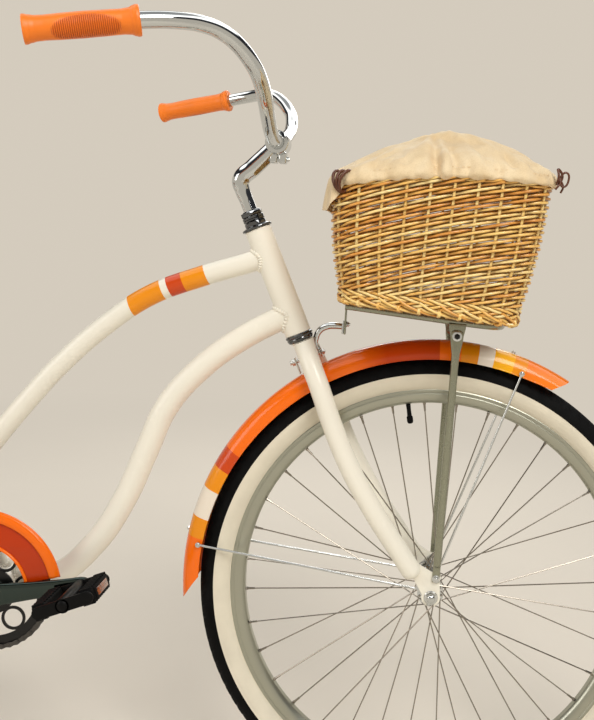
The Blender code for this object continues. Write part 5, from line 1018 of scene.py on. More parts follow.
def build_hubs():
    """Front hub, coaster hub and both axles with their nuts."""
    half = [(0.0056, 0.0462), (0.0082, 0.0462), (0.0092, 0.0448), (0.0118, 0.0395), (0.0128, 0.0378),
            (0.0130, 0.0363), (0.0196, 0.0361), (0.0205, 0.0354), (0.0205, 0.0338), (0.0196, 0.0329),
            (0.0125, 0.0318), (0.0108, 0.0288), (0.0105, 0.0240), (0.0104, 0.0)]
    front = turned("front_hub_dressed", both(half[:-1]), HUB, Y, 64, 28)
    settle(front, CHROME, "front_hub_spokes")
    left = [(0.0056, 0.0470), (0.0200, 0.0470), (0.0232, 0.0452), (0.0245, 0.0430), (0.0245, 0.0320),
            (0.0312, 0.0317), (0.0320, 0.0309), (0.0320, 0.0290), (0.0312, 0.0282), (0.0224, 0.0262),
            (0.0218, 0.0200)]
    right = [(0.0218, -0.0200), (0.0224, -0.0262), (0.0312, -0.0282), (0.0320, -0.0290), (0.0320, -0.0309),
             (0.0312, -0.0317), (0.0236, -0.0320), (0.0232, -0.0370), (0.0222, -0.0385), (0.0056, -0.0385)]
    rear = turned("rear_hub_dressed", left + right, REAR, Y, 64, 28)
    settle(rear, CHROME, "rear_hub_spokes")
    for node, hub, dropout, first in (("front_axle", HUB, 0.050, 0.0470), ("rear_axle", REAR, 0.056, 0.0505)):
        parts = [rod("axle", hub - Y * (dropout + 0.012), hub + Y * (dropout + 0.012), 0.0046, 24)]
        for side, _ in SIDES:
            face = dropout + 0.0053
            parts.append(rod("lock", hub + Y * side * first, hub + Y * side * (dropout - 0.0003), 0.0082, 6, None,
                             0.0004))
            rim = [(0.0046, face), (0.0102, face), (0.0107, face + 0.0005), (0.0107, face + 0.0013),
                   (0.0100, face + 0.0020), (0.0046, face + 0.0022)]
            parts.append(turned("flange", rim, hub, Y * side, 40, 28))
            parts.append(rod("nut", hub + Y * side * (face + 0.0014), hub + Y * side * (face + 0.0064), 0.0086, 6,
                             None, 0.0005))
            dome = [(0, face + 0.0098)] + [(0.0068 * math.sin(a), face + 0.0052 + 0.0046 * math.cos(a))
                                          for a in (math.pi / 14 * i for i in range(1, 8))] + [(0, face + 0.0050)]
            parts.append(turned("dome", dome, hub, Y * side, 32, 40))
        fit(node + "_dressed", parts, CHROME, node)


# Fenders

def fender_section(count=28):
    """Crowned section of the fender as (radius, y, share of the way from lip to crown)."""
    section = []
    for i in range(count + 1):
        turn = math.pi * i / count
        c, s = math.cos(turn), math.sin(turn)
        y = 0.0316 * math.copysign(abs(c) ** (2 / 2.4), c)
        rise = abs(s) ** (2 / 2.4)
        section.append((0.3667 + 0.0291 * rise, y, rise))
    return section


def tip_lift(turn, tip):
    """How far the lip lies outward of its circle near the front tip."""
    return max(0.0, 1 - (math.degrees(turn) - tip) / 14) ** 2 * 0.006


def build_fender(name, node, hub, crown, lip, finish, steps):
    """Fender whose ends run out to a point at the crown, with a rolled lip."""
    rows = []
    for i in range(steps + 1):
        row = []
        for radius, y, rise in fender_section():
            start = lip[0] + (crown[0] - lip[0]) * rise
            end = lip[1] + (crown[1] - lip[1]) * rise
            turn = math.radians(start + (end - start) * i / steps)
            radius += tip_lift(turn, crown[0]) * (1 - rise)
            row.append(hub + Vector((radius * math.cos(turn), y, radius * math.sin(turn))))
        rows.append(row)
    shell = grid(name, rows, angle=60)
    face = shell.data.polygons[steps * 14]
    inwards = -1 if face.normal.dot(face.center - hub) > 0 else 1
    with_change(shell, "SOLIDIFY", thickness=0.0011, offset=inwards, use_even_offset=True)
    lips = []
    for side, _ in SIDES:
        edge = []
        for i in range(steps * 2 + 1):
            turn = math.radians(lip[0] + (lip[1] - lip[0]) * i / (steps * 2))
            radius = 0.3676 + tip_lift(turn, crown[0])
            edge.append(hub + Vector((radius * math.cos(turn), side * 0.0308, radius * math.sin(turn))))
        lips.append(swept("lip", edge, 0.0012, 8, 1, straight=True))
    settle(smooth(joined(name, [shell] + lips), 50), finish, node)


def build_fenders():
    """Both fenders, their rivets and stays."""
    build_fender("front_fender_dressed", "front_fender", HUB, (60.2, 186.4), (63.3, 180.4), FRONT_BANDS, 84)
    build_fender("rear_fender_dressed", "rear_fender", REAR, (5.0, 187.0), (8.0, 181.0), REAR_BANDS, 110)
    for node, hub, spots in (("front_fender", HUB, (74.3, 170.4)), ("rear_fender", REAR, (118.0, 171.0))):
        parts = []
        for spot in spots:
            way = heading(spot)
            parts += hex_bolt("crown_screw", hub + way * 0.3950, way, 0.0036, 0.0030, 0.0048)
        fit(node + "_screws", parts, ZINC, node)
    tabs = {"front": ([(-0.025, 0.012), (-0.017, 0.004), (-0.0105, 0.0100), (0.0, 0.0125), (0.011, 0.026),
                       (0.012, 0.036), (0.004, 0.039), (-0.010, 0.026)], HUB, 0.0485,
                      [(0.007, 0.036), (-0.018, 0.0095)], (71.5, 172.3), -0.0010),
            "rear": ([(-0.022, 0.009), (-0.010, 0.0125), (0.002, 0.020), (0.003, 0.031), (-0.010, 0.033),
                      (-0.026, 0.020)], REAR, 0.0625, [(-0.006, 0.028), (-0.020, 0.0155)], (118.0, 171.0), 0.0010)}
    for prefix, (outline, hub, tab_y, roots, ends, shift) in tabs.items():
        for side, label in SIDES:
            parts = [plate("tab", [outline], 0.0024, hub + Y * side * tab_y)]
            lip_y = 0.032 + 0.0019 + 0.0003
            for root, end in zip(roots, ends):
                way = heading(end)
                path = [hub + Vector((root[0], side * (tab_y + shift), root[1])), hub + way * 0.3545 + Y * side * lip_y,
                        hub + way * 0.3765 + Y * side * lip_y]
                parts.append(swept("stay", path, 0.0019, 14, 1, straight=True))
                parts += hex_bolt("stay_screw", hub + way * 0.3725 + Y * side * (lip_y + 0.0012), Y * side, 0.0032,
                                  0.0020, 0.0042)
            node = f"{prefix}_fender_stay_{label}"
            fit(node + "_dressed", parts, CHROME, node)


# Basket

FOOT_REAR, FOOT_FRONT = (-0.164, 0.44869), (0.093, 0.42885)
TOP_REAR, TOP_FRONT = (-0.185, 0.619), (0.130, 0.637)


def basket_wall(share, along, inset=0.0):
    """Point of the basket's wall at a share of its height, going round from the front, and its outward way."""
    swell = 0.006 * math.sin(math.pi * min(1.0, max(0.0, share)))
    rear = [FOOT_REAR[i] + (TOP_REAR[i] - FOOT_REAR[i]) * share for i in (0, 1)]
    front = [FOOT_FRONT[i] + (TOP_FRONT[i] - FOOT_FRONT[i]) * share for i in (0, 1)]
    half = 0.150 + 0.020 * share + swell - inset
    back, ahead = rear[0] - swell + inset, front[0] + swell - inset
    corner = 0.045 - inset
    straight_x, straight_y = ahead - back - 2 * corner, 2 * (half - corner)
    bend = corner * math.pi / 2
    legs = [straight_y / 2, bend, straight_x, bend, straight_y, bend, straight_x, bend, straight_y / 2]
    rest = (along % 1.0) * sum(legs)
    corners = [(ahead - corner, half - corner), (back + corner, half - corner), (back + corner, -half + corner),
               (ahead - corner, -half + corner)]
    ways = [(1, 0), (0, 1), (-1, 0), (0, -1), (1, 0)]
    for number, leg in enumerate(legs):
        if rest <= leg or number == 8:
            break
        rest -= leg
    if number % 2:
        turn = math.pi / 2 * (number // 2 + rest / leg)
        cx, cy = corners[number // 2]
        way = Vector((math.cos(turn), math.sin(turn), 0))
        x, y = cx + corner * way.x, cy + corner * way.y
    else:
        face = number // 2
        way = Vector((*ways[face], 0))
        starts = [(ahead, 0), (ahead - corner, half), (back, half - corner), (back + corner, -half),
                  (ahead, -half + corner)]
        runs = [(0, 1), (-1, 0), (0, -1), (1, 0), (0, 1)]
        x = starts[face][0] + runs[face][0] * rest
        y = starts[face][1] + runs[face][1] * rest
    z = rear[1] + (front[1] - rear[1]) * (x - rear[0]) / (front[0] - rear[0])
    return at(x, y, z), way


def rim_rise(along):
    """How far the rim arches above its corners."""
    point = basket_wall(1.0, along)[0] - HUB
    u = min(1.0, abs((point.x + 0.0275) / 0.1575))
    v = min(1.0, abs(point.y / 0.170))
    return 0.014 * (1 - u * u) + 0.008 * (1 - v * v)


def toned(piece, tone):
    """Tone of one strand, and how far each of its points faces up or down, which the cane's finish turns into painted
    shade.
    """
    layer = piece.data.attributes.new("tone", "FLOAT", "POINT")
    layer.data.foreach_set("value", [tone] * len(piece.data.vertices))
    flank_shade = [abs(point.normal.z) for point in piece.data.vertices]
    layer = piece.data.attributes.new("flank_shade", "FLOAT", "POINT")
    layer.data.foreach_set("value", flank_shade)
    return piece


def share_on_plane(along, height, slope, middle=-0.03):
    """Share of the wall's height where a sloping row passes."""
    low, high = -0.3, 1.3
    for _ in range(18):
        share = (low + high) / 2
        point = basket_wall(share, along)[0] - HUB
        run = point.x - middle
        if point.z < height + slope * run - 0.34 * run * run:
            low = share
        else:
            high = share
    return share


def floor_at(x, y, lift):
    """Point a lift above the basket's sloping floor."""
    share = (x - FOOT_REAR[0]) / (FOOT_FRONT[0] - FOOT_REAR[0])
    return at(x, y, FOOT_REAR[1] + (FOOT_FRONT[1] - FOOT_REAR[1]) * share + lift)


def build_stakes(dice):
    """Upright stakes, up to the arched rim."""
    parts = []
    for number in range(STAKES):
        along = (number + 0.5) / STAKES
        top = 0.99 + rim_rise(along) / BASKET_HEIGHT
        lean = Z * dice.uniform(-0.0008, 0.0008)
        path = [basket_wall(share, along, 0.0042)[0] + lean for share in (0.02, 0.12, 0.3, 0.5, 0.7, 0.86, top)]
        parts.append(toned(swept("stake", path, 0.0023, 8, 3), dice.uniform(0.55, 1.0)))
    fit("basket_stakes", parts, WICKER, "basket")


def row_strands(height, slope, count):
    """Runs of (step, share) in which a sloping row lies on the wall, one that passes the start in one piece."""
    strands, run = [], []
    for step in range(count + 1):
        share = share_on_plane(step / count, height, slope)
        if 0.125 < share < 0.965 + rim_rise(step / count) / BASKET_HEIGHT:
            run.append((step, share))
        elif run:
            strands.append(run)
            run = []
    if run:
        strands.append(run)
    if len(strands) > 1 and strands[0][0][0] == 0 and strands[-1][-1][0] == count:
        strands[0] = [(s - count, h) for s, h in strands.pop()][:-1] + strands[0]
    return [strand for strand in strands if len(strand) >= 5]


def build_rows(dice):
    """Sloping rows, woven over and under the stakes."""
    fine = 6
    count = STAKES * fine
    parts = []
    for row in range(-17, 55):
        for strand in row_strands(0.436 + row * 0.0060, math.tan(math.radians(14.5)), count):
            closed = len(strand) == count + 1
            path = []
            wobble = dice.uniform(0, 100)
            for step, share in strand[:-1] if closed else strand:
                wave = math.cos(math.pi * (step / fine - 0.5)) * (1 if row % 2 else -1)
                drift = 0.0009 * noise.noise(Vector((step * 0.11, wobble, 0.0)))
                point, way = basket_wall(share, step / count, 0.0)
                path.append(point - way * (0.0042 - 0.0040 * wave) + Z * drift)
            piece = swept("row", path, 0.00248, 8, 1, None, closed, True)
            parts.append(toned(piece, dice.uniform(0.0, 1.0)))
    half = len(parts) // 2
    fit("basket_rows_low", parts[:half], WICKER, "basket")
    fit("basket_rows_high", parts[half:], WICKER, "basket")


def build_borders(dice):
    """Twisted bands at foot and rim, and the plaited foot border with its pegs."""
    parts = []
    fine = 8
    for level, share in enumerate((0.050, 0.082, 0.114, 0.975)):
        for strand in range(3):
            path = []
            for step in range(STAKES * fine):
                along = step / (STAKES * fine)
                turn = 2 * math.pi * (step / 16 + strand / 3) * (1 if level % 2 else -1)
                high = share + rim_rise(along) / BASKET_HEIGHT if level == 3 else share
                point, way = basket_wall(high, along, 0.0040)
                path.append(point + way * 0.0036 * math.cos(turn) + Z * 0.0030 * math.sin(turn))
            parts.append(toned(swept("band", path, 0.0025, 8, 1, None, True, True), dice.uniform(0.2, 1.0)))
    braid = ((0.100, 0.0, 0.001), (0.060, 0.5, -0.0022), (0.024, 1.35, 0.0010), (0.014, 1.9, 0.010))
    peg = ((0.060, 0.003), (0.040, -0.0022), (0.020, -0.0020), (0.012, 0.004), (0.018, 0.010))
    for number in range(STAKES):
        along = (number + 0.5) / STAKES
        path = [basket_wall(share, along + shift / STAKES, inset)[0] for share, shift, inset in braid]
        parts.append(toned(swept("border", path, 0.0024, 8, 4), dice.uniform(0.1, 0.8)))
        path = [basket_wall(share, along, inset)[0] for share, inset in peg]
        parts.append(toned(swept("peg", path, 0.0026, 8, 4), dice.uniform(0.3, 0.9)))
    fit("basket_bands", parts, WICKER, "basket")


def build_floor_weave(dice):
    """Slats woven across the floor's sticks."""
    parts = []
    for row in range(37):
        x = FOOT_REAR[0] + 0.012 + row * 0.0065
        path = [floor_at(x, -0.140 + 0.28 * step / 40, 0.0052 + 0.0022 * math.cos(math.pi * step / 4)
                         * (1 if row % 2 else -1)) for step in range(41)]
        parts.append(toned(swept("slat", path, 0.0028, 6, 1, straight=True), dice.uniform(0.1, 0.9)))
    for stick in range(11):
        y = -0.140 + 0.028 * stick
        ends = [floor_at(x, y, 0.0052) for x in (FOOT_REAR[0] + 0.006, FOOT_FRONT[0] - 0.006)]
        parts.append(toned(rod("stick", *ends, 0.0026, 8), dice.uniform(0.4, 0.9)))
    fit("basket_floor_weave", parts, WICKER, "basket")


def build_basket():
    """Woven basket, each strand in its own tone."""
    dice = random.Random(7)
    for build in (build_stakes, build_rows, build_borders, build_floor_weave):
        build(dice)


def cover_hem(count, levels):
    """Rows of points from the hem up over the rim, gathered, hanging lower behind."""
    rows = []
    for level, (lift, out) in enumerate(levels):
        row = []
        for step in range(count):
            along = step / count
            point, way = basket_wall(1.0, along)
            low = 0.005 + 0.0015 * noise.noise(Vector((along * 14, 0.0, 9.0)))
            if way.x < -0.6:
                low += 0.036 * math.sin(math.pi / 2 * min(1.0, (-way.x - 0.6) / 0.3))
            height = rim_rise(along) + (lift * low if lift < 0 else lift * 0.0115)
            gather = 0.0013 * math.sin(2 * math.pi * along * 64) * (1.2 - abs(lift))
            gather += 0.0016 * noise.noise(Vector((along * 40, level * 0.4, 3.0)))
            if way.x < -0.7 and lift < 0:
                gather += 0.008 * -lift
            row.append(point + way * (out + gather) + Z * height)
        rows.append(row)
    return rows


def cover_dome(edge, rings):
    """Rows of points from the rim's edge to the top of the dome."""
    rim_front, rim_back = TOP_FRONT[0], TOP_REAR[0]
    middle = (rim_front + rim_back) / 2
    centre = basket_wall(1.0, 0.0)[0].lerp(basket_wall(1.0, 0.5)[0], 0.5)
    rows = []
    for ring in range(1, rings):
        share = ring / rings
        pull = 1 - share ** 1.12
        row = []
        for step, start in enumerate(edge):
            along = step / len(edge)
            flat = centre + (start - centre) * pull
            u = (flat.x - HUB.x - middle) / ((rim_front - rim_back) / 2)
            u -= 0.16 * (1 - min(1.0, abs(u)) ** 2)
            v = flat.y / 0.170
            dome = math.cos(math.pi / 2 * min(1.0, abs(u))) ** 0.9 * math.cos(math.pi / 2 * min(1.0, abs(v))) ** 0.8
            fold = 0.0034 * math.sin(2 * math.pi * along * 30 + 2 * math.sin(7 * along)) * (1 - share) ** 2.2
            fade = math.sin(math.pi * min(1, share * 1.1))
            fold += 0.0080 * noise.noise(Vector((along * 17, share * 2.2, 7.3))) * fade
            level = start.z * pull + (centre.z + 0.019) * (1 - pull)
            row.append(Vector((flat.x, flat.y, level + 0.066 * dome + fold)))
        rows.append(row)
    return rows


def closed_top(piece, count):
    """Close the last ring of a skin to one point."""
    form = bmesh.new()
    form.from_mesh(piece.data)
    form.verts.ensure_lookup_table()
    last = form.verts[len(form.verts) - count:]
    peak = form.verts.new(sum((v.co for v in last), Vector()) / count)
    for i in range(count):
        form.faces.new((last[i], last[(i + 1) % count], peak))
    bmesh.ops.recalc_face_normals(form, faces=form.faces)
    form.to_mesh(piece.data)
    form.free()


def build_cover():
    """Cloth cover with a gathered hem round the rim, swelled by a short cloth run."""
    count, rings = 320, 26
    hem = cover_hem(count, [(-1.0, 0.0034), (-0.55, 0.0062), (0.0, 0.0068), (0.45, 0.0060), (0.80, 0.0022),
                            (1.0, 0.0006)])
    cover = grid("basket_cover", hem + cover_dome(hem[-1], rings), False, True, 80)
    closed_top(cover, count)
    swell_cloth(cover, len(hem) * count, 0.006)
    lift_folds(cover, len(hem), rings, count)
    with_change(cover, "SUBSURF", levels=1, render_levels=1)
    with_change(cover, "SOLIDIFY", thickness=0.0010, offset=1)
    settle(smooth(cover, 70), CANVAS, "basket_liner")
    form = bmesh.new()
    for step in range(0, count, 2):
        a, b = hem[4][step], hem[4][(step + 2) % count]
        lift = basket_wall(1.0, step / count)[1] * 0.0010 + Z * 0.0008
        pin(form, a.lerp(b, 0.15) + lift, a.lerp(b, 0.65) + lift, 0.00045, 0.00045, 6)
    settle(form_piece("cover_stitches", form), STITCH, "basket_liner")


def lift_folds(cover, hem, rings, count):
    """Creases that run in from the hem, and small gathers along it, raised along the cloth's own normals."""
    creases = [(0.728, 0.0045, 0.007, 0.7), (0.741, -0.0045, 0.005, 0.6), (0.752, 0.0060, 0.005, 0.6),
               (0.765, -0.0035, 0.006, 0.5), (0.700, 0.0030, 0.009, 0.5), (0.680, -0.0030, 0.006, 0.4),
               (0.790, 0.0035, 0.008, 0.7), (0.812, -0.0030, 0.006, 0.5), (0.838, 0.0030, 0.007, 0.5),
               (0.860, -0.0030, 0.006, 0.4), (0.655, 0.0035, 0.006, 0.5), (0.240, 0.0050, 0.006, 0.7),
               (0.256, -0.0040, 0.006, 0.6), (0.300, 0.0035, 0.008, 0.5), (0.190, 0.0030, 0.008, 0.6),
               (0.500, 0.0050, 0.007, 0.6), (0.522, -0.0040, 0.007, 0.6), (0.470, 0.0030, 0.008, 0.5),
               (0.020, 0.0040, 0.007, 0.5), (0.970, -0.0035, 0.008, 0.5), (0.920, 0.0030, 0.007, 0.5)]
    up = 1 if cover.data.vertices[-1].normal.z > 0 else -1
    moves = []
    for vertex in cover.data.vertices:
        row, step = divmod(vertex.index, count)
        along, share = step / count, max(0.0, (row - hem + 1) / rings)
        if row >= hem + rings - 1:
            moves.append(0.0)
            continue
        rise = 0.0
        for spot, depth, wide, far in creases:
            gap = (along - spot - 0.018 * math.sin(40 * spot) * share) / (wide * (1 + 0.8 * share))
            rise += 1.6 * depth * math.exp(-gap * gap) * max(0.0, 1 - share / far) ** 0.6 * (0.35 if row < 2 else 1.0)
        rise += 0.0015 * math.sin(2 * math.pi * along * 52 + 3 * math.sin(9 * along)) * max(0.0, 1 - share / 0.22)
        rise += 0.0036 * noise.noise(Vector((along * 46, share * 9, 1.7))) * min(1.0, share * 6)
        moves.append(rise)
    ways = [vertex.normal.copy() for vertex in cover.data.vertices]
    for vertex, way, rise in zip(cover.data.vertices, ways, moves):
        vertex.co += way * rise * up


def swell_cloth(piece, held, cap):
    """Short cloth run under light pressure, the first held points pinned, each point moved by the cap at most."""
    rest = [v.co.copy() for v in piece.data.vertices]
    piece.vertex_groups.new(name="held").add(list(range(held)), 1.0, "REPLACE")
    cloth = piece.modifiers.new("Cloth", "CLOTH")
    for key, value in (("quality", 5), ("mass", 0.25), ("use_pressure", True), ("uniform_pressure_force", 3.0),
                       ("tension_stiffness", 12), ("bending_stiffness", 0.35), ("shrink_min", -0.035),
                       ("vertex_group_mass", "held")):
        setattr(cloth.settings, key, value)
    cloth.settings.effector_weights.gravity = 0.0
    cloth.collision_settings.use_collision = False
    cloth.point_cache.frame_start, cloth.point_cache.frame_end = 1, 20
    for number in range(1, 21):
        bpy.context.scene.frame_set(number)
    pick(piece)
    bpy.ops.object.modifier_apply(modifier=cloth.name)
    for vertex, start in zip(piece.data.vertices, rest):
        move = vertex.co - start
        if move.length > cap:
            vertex.co = start + move.normalized() * cap
    piece.vertex_groups.clear()
    bpy.context.scene.frame_set(1)


def build_ties():
    """Straps wrapped at the rear corner and tied at the front corner, on both sides."""
    parts = []
    for side, _ in SIDES:
        rear_spot, rear_way = basket_wall(1.02, 0.5 + (0.134 if side < 0 else -0.134))
        run = Z.cross(rear_way)
        for number, lean in enumerate((-0.35, 0.0, 0.35)):
            path = []
            for turn in turns(22):
                out = (0.0105 + 0.0025 * math.cos(turn)) * math.cos(turn) + 0.001
                along = (number - 1) * 0.0062 + lean * 0.014 * math.sin(turn)
                path.append(rear_spot + rear_way * out + Z * (0.0150 * math.sin(turn)) + run * along)
            parts.append(swept("wrap", path, 0.0024, 8, 2, None, True))
        spot, way = basket_wall(1.03, 0.122 if side > 0 else 0.878)
        run = Z.cross(way)
        knot = [spot + way * (0.0125 + 0.0022 * math.cos(2 * turn)) + Z * (0.006 + 0.0105 * math.sin(turn))
                + run * 0.0065 * math.cos(turn) for turn in turns(26)]
        parts.append(swept("knot", knot, 0.0018, 8, 2, None, True))
        ends = [("tail", 0.0015, [(0.0130, 0.004, 0), (0.0165, -0.004, reach * 0.4), (0.0160, drop * 0.55, reach * 0.8),
                                  (0.0120, drop, reach)]) for reach, drop in ((0.010, -0.016), (-0.009, -0.013))]
        ends.append(("loop", 0.0016, [(0.0130, 0.004, 0), (0.0215, 0.012, 0.004), (0.0235, 0.001, 0.008),
                                      (0.0180, -0.008, 0.004), (0.0130, 0.0, 0)]))
        for name, radius, places in ends:
            path = [spot + way * out + Z * up + run * along for out, up, along in places]
            parts.append(swept(name, path, radius, 8, 5))
    fit("basket_ties", parts, STRAP_LEATHER, "basket_liner")


# Drive

def chain_line():
    """Places of the chain's pins round chainring and cog."""
    offset = REAR - CRANK
    distance = math.hypot(offset.x, offset.z)
    lean = math.asin((RING_RADIUS - COG_RADIUS) / distance)
    run = distance * math.cos(lean)
    axis = math.atan2(offset.z, offset.x)
    low, high = axis + math.pi / 2 - lean, axis - math.pi / 2 + lean
    ring_arc = (math.pi + 2 * lean) * RING_TEETH * PITCH / (2 * math.pi)
    cog_arc = (math.pi - 2 * lean) * COG_TEETH * PITCH / (2 * math.pi)

    def on_ring(turn):
        return Vector((CRANK.x + RING_RADIUS * math.cos(turn), CHAIN_SIDE, CRANK.z + RING_RADIUS * math.sin(turn)))

    def on_cog(turn):
        return Vector((REAR.x + COG_RADIUS * math.cos(turn), CHAIN_SIDE, REAR.z + COG_RADIUS * math.sin(turn)))

    pins = []
    for along in (link * PITCH for link in range(LINKS)):
        if along < ring_arc:
            pins.append(on_ring(low + along * 2 * math.pi / (RING_TEETH * PITCH)))
        elif along < ring_arc + run:
            pins.append(on_ring(high).lerp(on_cog(high), (along - ring_arc) / run))
        elif along < ring_arc + run + cog_arc:
            pins.append(on_cog(high + (along - ring_arc - run) * 2 * math.pi / (COG_TEETH * PITCH)))
        else:
            pins.append(on_cog(low).lerp(on_ring(low), (along - ring_arc - run - cog_arc) / run))
    return pins


def build_chain():
    """Every link of the chain as waisted plates on riveted pins."""
    pins = chain_line()
    form = bmesh.new()
    for number, spot in enumerate(pins):
        run = pins[(number + 1) % len(pins)] - spot
        way = run.normalized()
        over = Vector((-way.z, 0, way.x))
        outline = arc(0.0042, -90, 90, 5, (run.length, 0.0)) + [(run.length / 2, 0.0030)]
        outline += arc(0.0042, 90, 270, 5) + [(run.length / 2, -0.0030)]
        count = len(outline)
        near = 0.0020 if number % 2 else 0.0031
        for side in (-1, 1):
            rings = [[form.verts.new(spot + way * u + over * v + Y * side * y) for u, v in outline]
                     for y in (near, near + 0.0010)]
            for ring in rings:
                form.faces.new(ring)
            for i in range(count):
                k = (i + 1) % count
                form.faces.new((rings[0][i], rings[0][k], rings[1][k], rings[1][i]))
        pin(form, spot - Y * 0.0018, spot + Y * 0.0018, 0.0037, 0.0037, 10)
        pin(form, spot - Y * 0.0048, spot + Y * 0.0048, 0.0018, 0.0018, 8)
    bmesh.ops.recalc_face_normals(form, faces=form.faces)
    settle(smooth(form_piece("chain_links", form), 30), CHAIN_STEEL, "chain")


def build_guard():
    """Chain guard with its raised band, bright rolled rim and hole edge."""
    centre = CRANK + Vector((-0.0143, -0.0585, 0.004))
    stay_top, slope = 0.0058, 0.044 / (CRANK.x - REAR.x)
    tab = [(x, stay_top + slope * (0.0143 - x) + 0.0004) for x in (-0.286, -0.270)]
    outline = arc(0.1290, 14, 98, 29)
    outline += [(-0.050, 0.1228), (-0.080, 0.1205), (-0.318, 0.0980), (-0.327, 0.0930), (-0.331, 0.0800),
                (-0.325, 0.0690), (-0.286, 0.0630)] + tab
    outline += [(-0.270, 0.0620), (-0.110, 0.0540), (-0.085, 0.0470)] + arc(0.071, 140, 14, 36)
    sheet = plate("guard_sheet", [outline], 0.0018, centre, 0.0003)
    line = arc(0.1206, 14.6, 98, 48) + [(-0.030, 0.1158), (-0.050, 0.1136), (-0.080, 0.1110), (-0.200, 0.0998),
                                        (-0.296, 0.0910), (-0.314, 0.0880), (-0.3205, 0.0800)]
    rows = []
    for number, (x, z) in enumerate(line):
        before, after = line[max(0, number - 1)], line[min(len(line) - 1, number + 1)]
        run = Vector((after[0] - before[0], 0, after[1] - before[1])).normalized()
        out = Vector((run.z, 0, -run.x)) * (0.0088 if number < len(line) - 1 else 0.004)
        row = []
        for turn in turns(20):
            wide = math.copysign(abs(math.cos(turn)) ** 0.8, math.cos(turn))
            rise = math.sin(turn)
            proud = 0.0066 * rise ** 0.75 if rise > 0 else 0.0010 * rise
            row.append(centre + Vector((x, -0.0004 - proud, z)) + out * wide)
        rows.append(row)
    rolled = edit(grid("guard_roll", rows, False, True, 60), fill_ends, outward)
    hole = [centre + Vector((x, -0.0008, z)) for x, z in arc(0.0740, 16, 138, 40)]
    lip = swept("guard_hole_lip", hole, 0.0026, 12, 1, straight=True)
    bracket = block("guard_bracket", seat_axis(0.122, -0.03425), (0.012, 0.0480, 0.0025), Z, 0.0005)
    # painted shade: the recessed face and the bracket take the deeper orange, the rim the plain orange
    fit("chain_guard_face", [sheet, bracket], GUARD_FACE_SHADE_ORANGE, "chain_guard")
    fit("chain_guard_rim", [rolled, lip], ORANGE, "chain_guard")
    screws = []
    for spot in (seat_axis(0.122, -0.0593), centre + Vector((-0.300, -0.0009, 0.083))):
        screws += hex_bolt("guard_screw", spot, -Y, 0.0036, 0.0022, 0.0052)
    fit("chain_guard_screws", screws, ZINC, "chain_guard")


def crank_way(side):
    """Way of the crank arm on a side."""
    return heading(CRANK_ANGLE if side < 0 else CRANK_ANGLE + 180)


def build_crank():
    """One-piece crank: spindle, both forged arms and the pedal axles."""
    spindle = [(0, 0.066), (0.0115, 0.066), (0.0115, -0.0464), (0.0210, -0.0466), (0.0210, -0.0500),
               (0.0165, -0.0518), (0.0145, -0.0560), (0.0145, -0.066), (0, -0.066)]
    parts = [turned("spindle", spindle, CRANK, Y, 48, 28)]
    stations = [(-0.0185, 0.002, 0.003), (-0.0175, 0.0085, 0.0044), (-0.012, 0.0148, 0.0050), (0.0, 0.0182, 0.0050),
                (0.020, 0.0172, 0.0050), (0.060, 0.0142, 0.0048), (0.110, 0.0120, 0.0047), (0.140, 0.0122, 0.0049),
                (0.152, 0.0128, 0.0050), (0.160, 0.0102, 0.0049), (0.1640, 0.0060, 0.0044), (0.1650, 0.0015, 0.0030)]
    for side, _ in SIDES:
        way = crank_way(side)
        over = Vector((-way.z, 0, way.x))
        rows = []
        for reach, high, thick in stations:
            middle = CRANK + way * reach + Y * side * 0.068
            rows.append([middle + over * high * math.copysign(abs(math.cos(turn)) ** 0.75, math.cos(turn))
                         + Y * thick * math.copysign(abs(math.sin(turn)) ** 0.55, math.sin(turn))
                         for turn in turns(28)])
        arm = edit(grid("arm", rows, False, True, 60), fill_ends, outward)
        parts.append(with_change(arm, "SUBSURF", levels=1, render_levels=1))
        axle = CRANK + way * CRANK_LENGTH
        parts.append(rod("pedal_axle", axle + Y * side * 0.068, axle + Y * side * 0.158, 0.0045, 20))
        parts += hex_bolt("pedal_hex", axle + Y * side * 0.0728, Y * side, 0.0076, 0.0030)
    fit("crank_dressed", parts, SMOKED_CHROME, "crank")
    build_chainring()
    for label in ("right", "left"):
        settle(copied("bb_bearing_" + label, 0.0003), DARK_CHROME, "bb_bearing_" + label)
    settle(copied("rear_cog", 0.0003), BLACK_STEEL, "rear_cog")
    settle(copied("brake_arm", 0.0004), CHROME, "brake_arm")


def build_chainring():
    """Chainring with a toothed band, six round openings and a centre disc."""
    offset = REAR - CRANK
    lean = math.asin((RING_RADIUS - COG_RADIUS) / math.hypot(offset.x, offset.z))
    first = math.atan2(offset.z, offset.x) + math.pi / 2 - lean
    teeth = []
    for tooth in range(RING_TEETH):
        for share, lift in ((0.0, -0.0038), (0.17, -0.0026), (0.30, 0.0004), (0.42, 0.0030), (0.5, 0.0036),
                            (0.58, 0.0030), (0.70, 0.0004), (0.83, -0.0026)):
            turn = first + 2 * math.pi * (tooth + share) / RING_TEETH
            teeth.append(((RING_RADIUS + lift) * math.cos(turn), (RING_RADIUS + lift) * math.sin(turn)))
    place = CRANK + Y * CHAIN_SIDE
    parts = [plate("tooth_band", [teeth, arc(0.0715, 0, 357, 120)], 0.0024, place, 0.0003),
             plate("centre_disc", [arc(0.0360, 0, 354, 60), arc(0.0116, 0, 345, 24)], 0.0030, place, 0.0004)]
    for x, z in arc(0.0535, CRANK_ANGLE, CRANK_ANGLE + 300, 6):
        rims = [arc(0.0192, 0, 350, 36, (x, z)), arc(0.0146, 0, 350, 36, (x, z))]
        parts.append(plate("round_opening", rims, 0.0026, place, 0.0004))
    fit("chainring_dressed", parts, BLACK_STEEL, "chainring")


